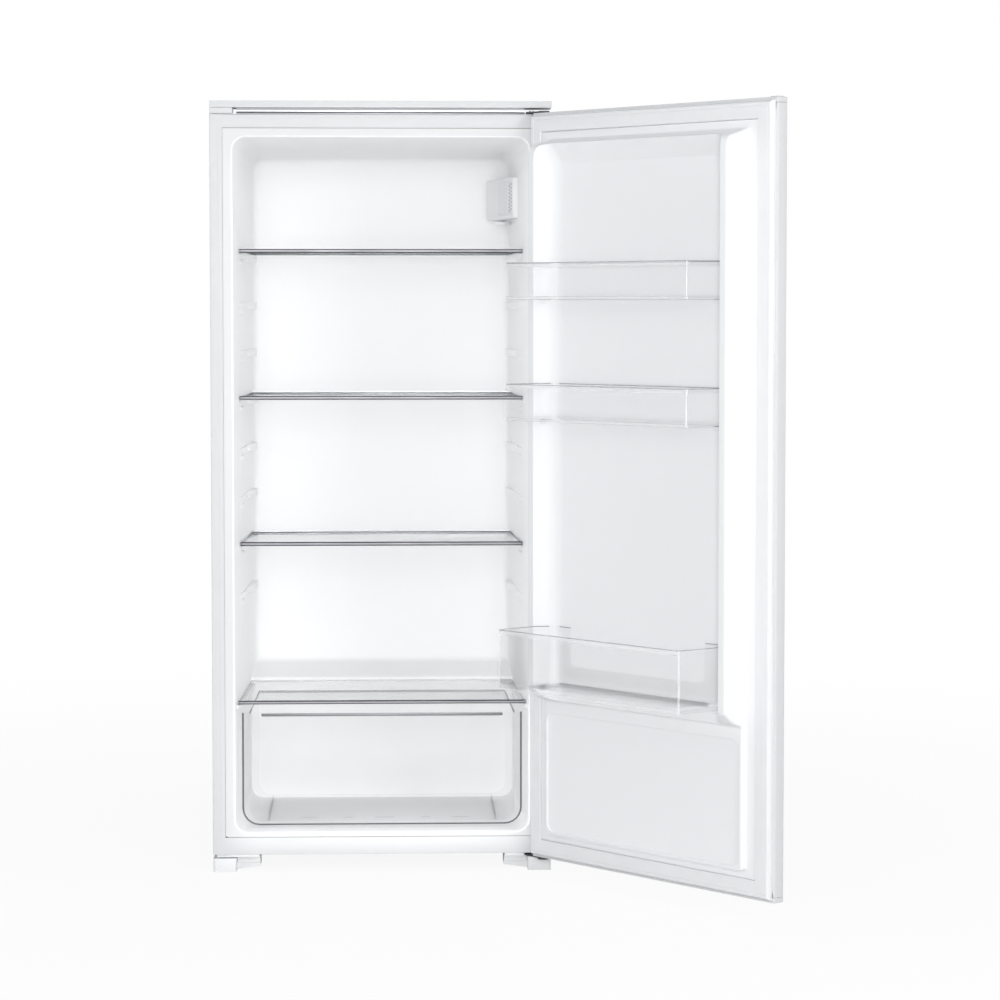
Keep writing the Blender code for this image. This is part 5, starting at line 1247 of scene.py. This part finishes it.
class REFRIGERATOR_OT_casing(bpy.types.Operator):
    """Model the top trim, the metal strip, the blanking cap, the rails and the side panels"""

    bl_idname = "refrigerator.casing"
    bl_label = "Casing"
    bl_options = {"REGISTER", "UNDO"}

    half, inner_half, strip_half = 0.270, 0.250, 0.228
    bottom, top = 0.0280, 1.2034
    sheet = 0.0008

    def execute(self, context):
        self.top_pieces()
        for side, word in ((-1, "left"), (1, "right")):
            self.side_panel(side, word)
        for word, low, high, reach in (("top", 1.1823, self.top, 0.030), ("bottom", self.bottom, 0.0555, 0.060)):
            self.rail(word, low, high, reach)
        return {"FINISHED"}

    def top_pieces(self):
        """Models the trim, the strip and the blanking cap over the front."""
        half, wide = self.strip_half, self.half
        trim = block("top_trim_bar", at(-wide, 0.0, 1.2145), at(wide, 0.055, 1.2250))
        web = block("web", at(-half, 0.0130, 1.2108), at(half, 0.0150, 1.2150))
        rear_web = block("rear_web", at(-half, 0.0385, 1.2048), at(half, 0.0400, 1.2150))
        soften(weld(trim, web, rear_web), 0.0008, 2)
        place(trim, "white_painted_steel", "cabinet", "top_trim")
        strip = block("metal_strip", at(-half, 0.0, 1.2075), at(half, 0.025, 1.2105))
        weld(strip, block("foot", at(-half, 0.020, 1.2048), at(half, 0.022, 1.2080)))
        # The strip takes the lighter copy of the aluminium, a painted reflection
        place(soften(strip, 0.0005, 2), "satin_aluminium", "cabinet", "hinge_strip", look="aluminium_painted_reflection")
        cap = block("hinge_cap", at(-0.2697, 0.0003, 1.2049), at(-0.2335, 0.030, 1.2143))
        place(soften(cap, 0.0012, 3), "white_painted_steel", "cabinet", "blanking_cap")

    def side_panel(self, side, word):
        """Models a side panel with its folded front return."""
        low, high = sorted((side * self.inner_half, side * self.half))
        panel = block(f"side_{word}", at(low, 0.0, self.bottom), at(high, 0.490, self.top))
        bevel_edges(panel, 0.0014, 3, lambda p, d: abs(d.z) > ALONG and abs(p.x) > self.half - 2 * NEAR)
        drop_faces(panel, lambda p, n: abs(n.z) > ALONG or side * n.x < -ALONG)
        middle, groove = side * 0.2572, 0.0004
        fold = block("fold", at(middle - groove, -0.001, 0.02), at(middle + groove, groove, 1.21))
        cut(modify(panel, "SOLIDIFY", thickness=self.sheet, offset=-1), fold)
        place(panel, "white_painted_steel", "cabinet", f"side_panel_{word}")

    def rail(self, word, low, high, reach):
        """Models a folded rail across the front."""
        half = self.inner_half - 0.00005
        rail = block(f"{word}_front_rail", at(-half, 0.0, low), at(half, reach, high))
        outer = high if word == "top" else low
        bevel_edges(rail, 0.0009, 2, lambda p, d: p.y < FRONT + NEAR and abs(d.x) > ALONG)
        drop_faces(
            rail, lambda p, n: abs(n.x) > ALONG or n.y > ALONG or abs(n.z) > ALONG and abs(p.z - outer) > 0.01
        )
        modify(rail, "SOLIDIFY", thickness=self.sheet, offset=-1)
        place(rail, "white_painted_steel", "cabinet", f"{word}_rail")


class REFRIGERATOR_OT_feet(bpy.types.Operator):
    """Model the two front feet with their wings"""

    bl_idname = "refrigerator.feet"
    bl_label = "Feet"
    bl_options = {"REGISTER", "UNDO"}

    def execute(self, context):
        for word, side, flange in (("left", -1, 0.0060), ("right", 1, 0.0430)):
            foot = self.foot(f"{word}_foot", side, flange)
            place(foot, "white_moulded_plastic", "cabinet", f"foot_{word}", look="foot_plastic")
        return {"FINISHED"}

    @staticmethod
    def foot(name, side, flange_start):
        """A block, a wing that rises towards the middle of the cabinet and a flange under the casing."""
        end = 0.0750

        def bar(label, start, stop, front, rear, low, high):
            """A block between two distances from the cabinet's side."""
            near, far = sorted((side * (DOOR_HALF - start), side * (DOOR_HALF - stop)))
            return block(label, at(near, front, low), at(far, rear, high))

        foot = bar(name, 0.0370, 0.0003, 0.001, 0.060, 0.0, 0.0213)
        bevel_edges(foot, 0.004, 4, lambda p, d: abs(d.z) > ALONG and p.y < FRONT + 0.01)
        wing = bar("wing", end, 0.0360, 0.020, 0.058, 0.0015, 0.0195)
        tip = side * (DOOR_HALF - end)
        reshape(wing, lambda p: Vector((p.x, p.y, p.z + 0.0050)) if abs(p.x - tip) < 2 * NEAR and p.z < 0.01 else p)
        ledge = bar("ledge", 0.0746, 0.0380, 0.017, 0.0575, 0.0120, 0.0218)
        flange = bar("flange", 0.0742, flange_start, 0.003, 0.0585, 0.0232, 0.0277)
        neck = bar("neck", 0.0700, 0.0450, 0.030, 0.055, 0.0190, 0.0240)
        weld(foot, soften(wing, 0.0008, 2), soften(ledge, 0.0008, 2), soften(neck, 0.001, 1), flange)
        return soften(foot, 0.0007, 2)


class REFRIGERATOR_OT_hinges(bpy.types.Operator):
    """Model the two hinge brackets with their pins and screws"""

    bl_idname = "refrigerator.hinges"
    bl_label = "Hinges"
    bl_options = {"REGISTER", "UNDO"}

    def execute(self, context):
        pin = HINGE_SHUT
        left, right, rear, nose = 0.2297, 0.2657, 0.026, -0.0150
        for word, low, high, tip, shoulder in (
            ("upper", 1.2055, 1.2083, 1.1987, [(left, 0.001), (0.2480, nose)]),
            ("lower", 0.0219, 0.0247, 0.0315, [(left, 0.012), (0.2510, nose)]),
        ):
            plan = [(left, rear), *shoulder, (0.2640, nose), (right, 0.001), (right, rear)]
            plate = prism(f"{word}_bracket", [at(x, d, low) for x, d in plan], (0, 0, high - low))
            bevel_edges(plate, 0.004, 4, lambda p, d: abs(d.z) > ALONG and p.y < FRONT)
            middle = (low + high) / 2
            weld(plate, disc("eye", (pin.x, pin.y, middle), 0.0090, high - low - CLOSE, "Z", 40))
            weld(plate, disc("pin", (pin.x, pin.y, (tip + middle) / 2), 0.0030, abs(tip - middle), "Z", 24))
            if word == "lower":
                weld(plate, disc("washer", (pin.x, pin.y, high + 0.0003), 0.0048, 0.0018, "Z", 32))
            place(soften(plate, 0.0005, 2), "dark_steel", "cabinet", f"{word}_hinge")
            self.screw(word, high + 0.0014 if word == "upper" else low - 0.0014)
        return {"FINISHED"}

    @staticmethod
    def screw(word, z):
        """Models the head of a bracket's screw. The upper one shows its cross."""
        centre, length_half, width_half = at(0.2387, 0.0130, z), 0.0024, 0.0005
        head = disc(f"{word}_screw", centre, 0.0039, 0.0022, "Z", 32)
        if word == "upper":
            for x, y in ((length_half, width_half), (width_half, length_half)):
                slot = block("slot", centre + Vector((-x, -y, 0.0002)), centre + Vector((x, y, 0.0022)))
                cut(head, slot)
        place(soften(head, 0.0004, 2), "galvanised_steel", "cabinet", f"{word}_hinge_screw")


class REFRIGERATOR_OT_stage(bpy.types.Operator):
    """Make the floor, the lights and the camera"""

    bl_idname = "refrigerator.stage"
    bl_label = "Stage"
    bl_options = {"REGISTER", "UNDO"}

    def execute(self, context):
        scene = context.scene
        s = scene.refrigerator_studio
        self.floor()
        self.world(scene, s.world_strength)
        self.lamp("front_light", (-0.1, -6.4, 1.15), (0.0, 0.0, 0.70), 1.8, s.front_power)
        self.lamp("left_light", (-5.6, -5.2, 3.6), (0.2, -0.4, 0.7), 3.2, s.left_power)
        self.lamp("right_light", (3.4, -5.0, 1.9), (0.0, -0.3, 0.7), 2.0, s.right_power)
        for name, z, height, watts in (
            ("opening_fill", 0.58, 1.12, s.fill_power),
            ("crisper_fill", 0.155, 0.21, s.crisper_power),
        ):
            fill = self.lamp(name, (0.0, FRONT - 0.03, z), (0.0, FRONT + 1.0, z), 0.46, watts)
            fill.data.shape = "RECTANGLE"
            fill.data.size_y = height
            fill.visible_camera = False
        deselect()
        stand = at(s.camera_x, -s.camera_distance, s.camera_height)
        bpy.ops.object.camera_add(location=stand, rotation=(math.pi / 2 - s.tilt, 0, -s.pan))
        camera = bpy.context.object
        camera.name = "camera"
        camera.data.lens = s.focal_length
        camera.data.sensor_width = 36.0
        camera.data.clip_end = 100.0
        scene.camera = camera
        scene.view_settings.view_transform = "Standard"
        return {"FINISHED"}

    @staticmethod
    def lamp(name, location, target, size, power):
        """A large soft lamp that points at a target."""
        deselect()
        aim = (Vector(target) - Vector(location)).to_track_quat("-Z", "Y").to_euler()
        bpy.ops.object.light_add(type="AREA", location=location, rotation=aim)
        light = bpy.context.object
        light.name = name
        light.data.shape = "SQUARE"
        light.data.size = size
        light.data.energy = power
        return light

    @staticmethod
    def floor():
        """A wide pale floor that keeps the shadow and looks white to the camera."""
        deselect()
        bpy.ops.mesh.primitive_plane_add(size=24.0, location=(0, 0, -0.0005))
        floor = named("floor")
        n = Nodes("pale_floor")
        n.set(Base_Color=(0.84, 0.84, 0.84), Roughness=0.8, Specular_IOR_Level=0.1)
        glow = n.add("ShaderNodeEmission", [("Color", (1, 1, 1, 1)), ("Strength", 1.0)])
        rays = n.add("ShaderNodeLightPath")
        centred = n.add("ShaderNodeMapping", [("Vector", n.coordinates), ("Scale", (0.4, 0.4, 0.4))])
        near = n.add("ShaderNodeTexGradient", [("Vector", centred.outputs[0])], gradient_type="SPHERICAL")
        seen = n.add("ShaderNodeMath", operation="MULTIPLY")
        n.tree.links.new(rays.outputs["Is Camera Ray"], seen.inputs[0])
        n.tree.links.new(n.ranged(near.outputs["Fac"], 1.0, 0.9, 0.0, 1.0), seen.inputs[1])
        mix = n.add("ShaderNodeMixShader")
        n.tree.links.new(seen.outputs[0], mix.inputs[0])
        n.tree.links.new(n.shader.outputs[0], mix.inputs[1])
        n.tree.links.new(glow.outputs[0], mix.inputs[2])
        n.tree.links.new(mix.outputs[0], n.tree.nodes["Material Output"].inputs["Surface"])
        floor.data.materials.append(n.material)

    @staticmethod
    def world(scene, strength):
        """White where it is seen, mirrored or looked through, and a plain level of light elsewhere."""
        world = bpy.data.worlds.new("studio")
        scene.world = world
        world.use_nodes = True
        nodes, links = world.node_tree.nodes, world.node_tree.links
        lit = nodes["Background"]
        lit.inputs["Color"].default_value = (0.96, 0.98, 1.0, 1.0)
        lit.inputs["Strength"].default_value = strength
        white = nodes.new("ShaderNodeBackground")
        white.inputs["Color"].default_value = (1, 1, 1, 1)
        white.inputs["Strength"].default_value = 1.0
        rays = nodes.new("ShaderNodeLightPath")
        total = rays.outputs["Is Camera Ray"]
        for name in ("Is Glossy Ray", "Is Transmission Ray"):
            both = nodes.new("ShaderNodeMath")
            both.operation = "MAXIMUM"
            links.new(total, both.inputs[0])
            links.new(rays.outputs[name], both.inputs[1])
            total = both.outputs[0]
        mix = nodes.new("ShaderNodeMixShader")
        links.new(total, mix.inputs[0])
        links.new(lit.outputs[0], mix.inputs[1])
        links.new(white.outputs[0], mix.inputs[2])
        links.new(mix.outputs[0], nodes["World Output"].inputs["Surface"])


STEPS = [
    REFRIGERATOR_OT_materials,
    REFRIGERATOR_OT_liner,
    REFRIGERATOR_OT_casing,
    REFRIGERATOR_OT_feet,
    REFRIGERATOR_OT_hinges,
    REFRIGERATOR_OT_shelves,
    REFRIGERATOR_OT_drawer,
    REFRIGERATOR_OT_housing,
    REFRIGERATOR_OT_door_liner,
    REFRIGERATOR_OT_gasket,
    REFRIGERATOR_OT_door_shell,
    REFRIGERATOR_OT_door_trays,
    REFRIGERATOR_OT_stage,
]


class REFRIGERATOR_PT_sidebar(bpy.types.Panel):
    """The refrigerator's settings and the steps that build it"""

    bl_idname = "REFRIGERATOR_PT_sidebar"
    bl_label = "Column refrigerator"
    bl_space_type = "VIEW_3D"
    bl_region_type = "UI"
    bl_category = "Refrigerator"

    def draw(self, context):
        for step in STEPS:
            self.layout.operator(step.bl_idname)
        for group, settings in GROUPS.items():
            box = self.layout.box()
            for name in settings.__annotations__:
                box.prop(getattr(context.scene, group), name)


CLASSES = [*GROUPS.values(), *STEPS, REFRIGERATOR_PT_sidebar]


def register():
    """Registers the classes and hangs the settings on the scene."""
    for cls in CLASSES:
        bpy.utils.register_class(cls)
    for name, settings in GROUPS.items():
        setattr(bpy.types.Scene, name, bpy.props.PointerProperty(type=settings))


def unregister():
    """Takes the settings and the classes away again."""
    for name in GROUPS:
        delattr(bpy.types.Scene, name)
    for cls in reversed(CLASSES):
        bpy.utils.unregister_class(cls)


def main():
    """Builds everything in order."""
    register()
    for step in STEPS:
        group, name = step.bl_idname.split(".")
        getattr(getattr(bpy.ops, group), name)()


if __name__ == "__main__":
    main()
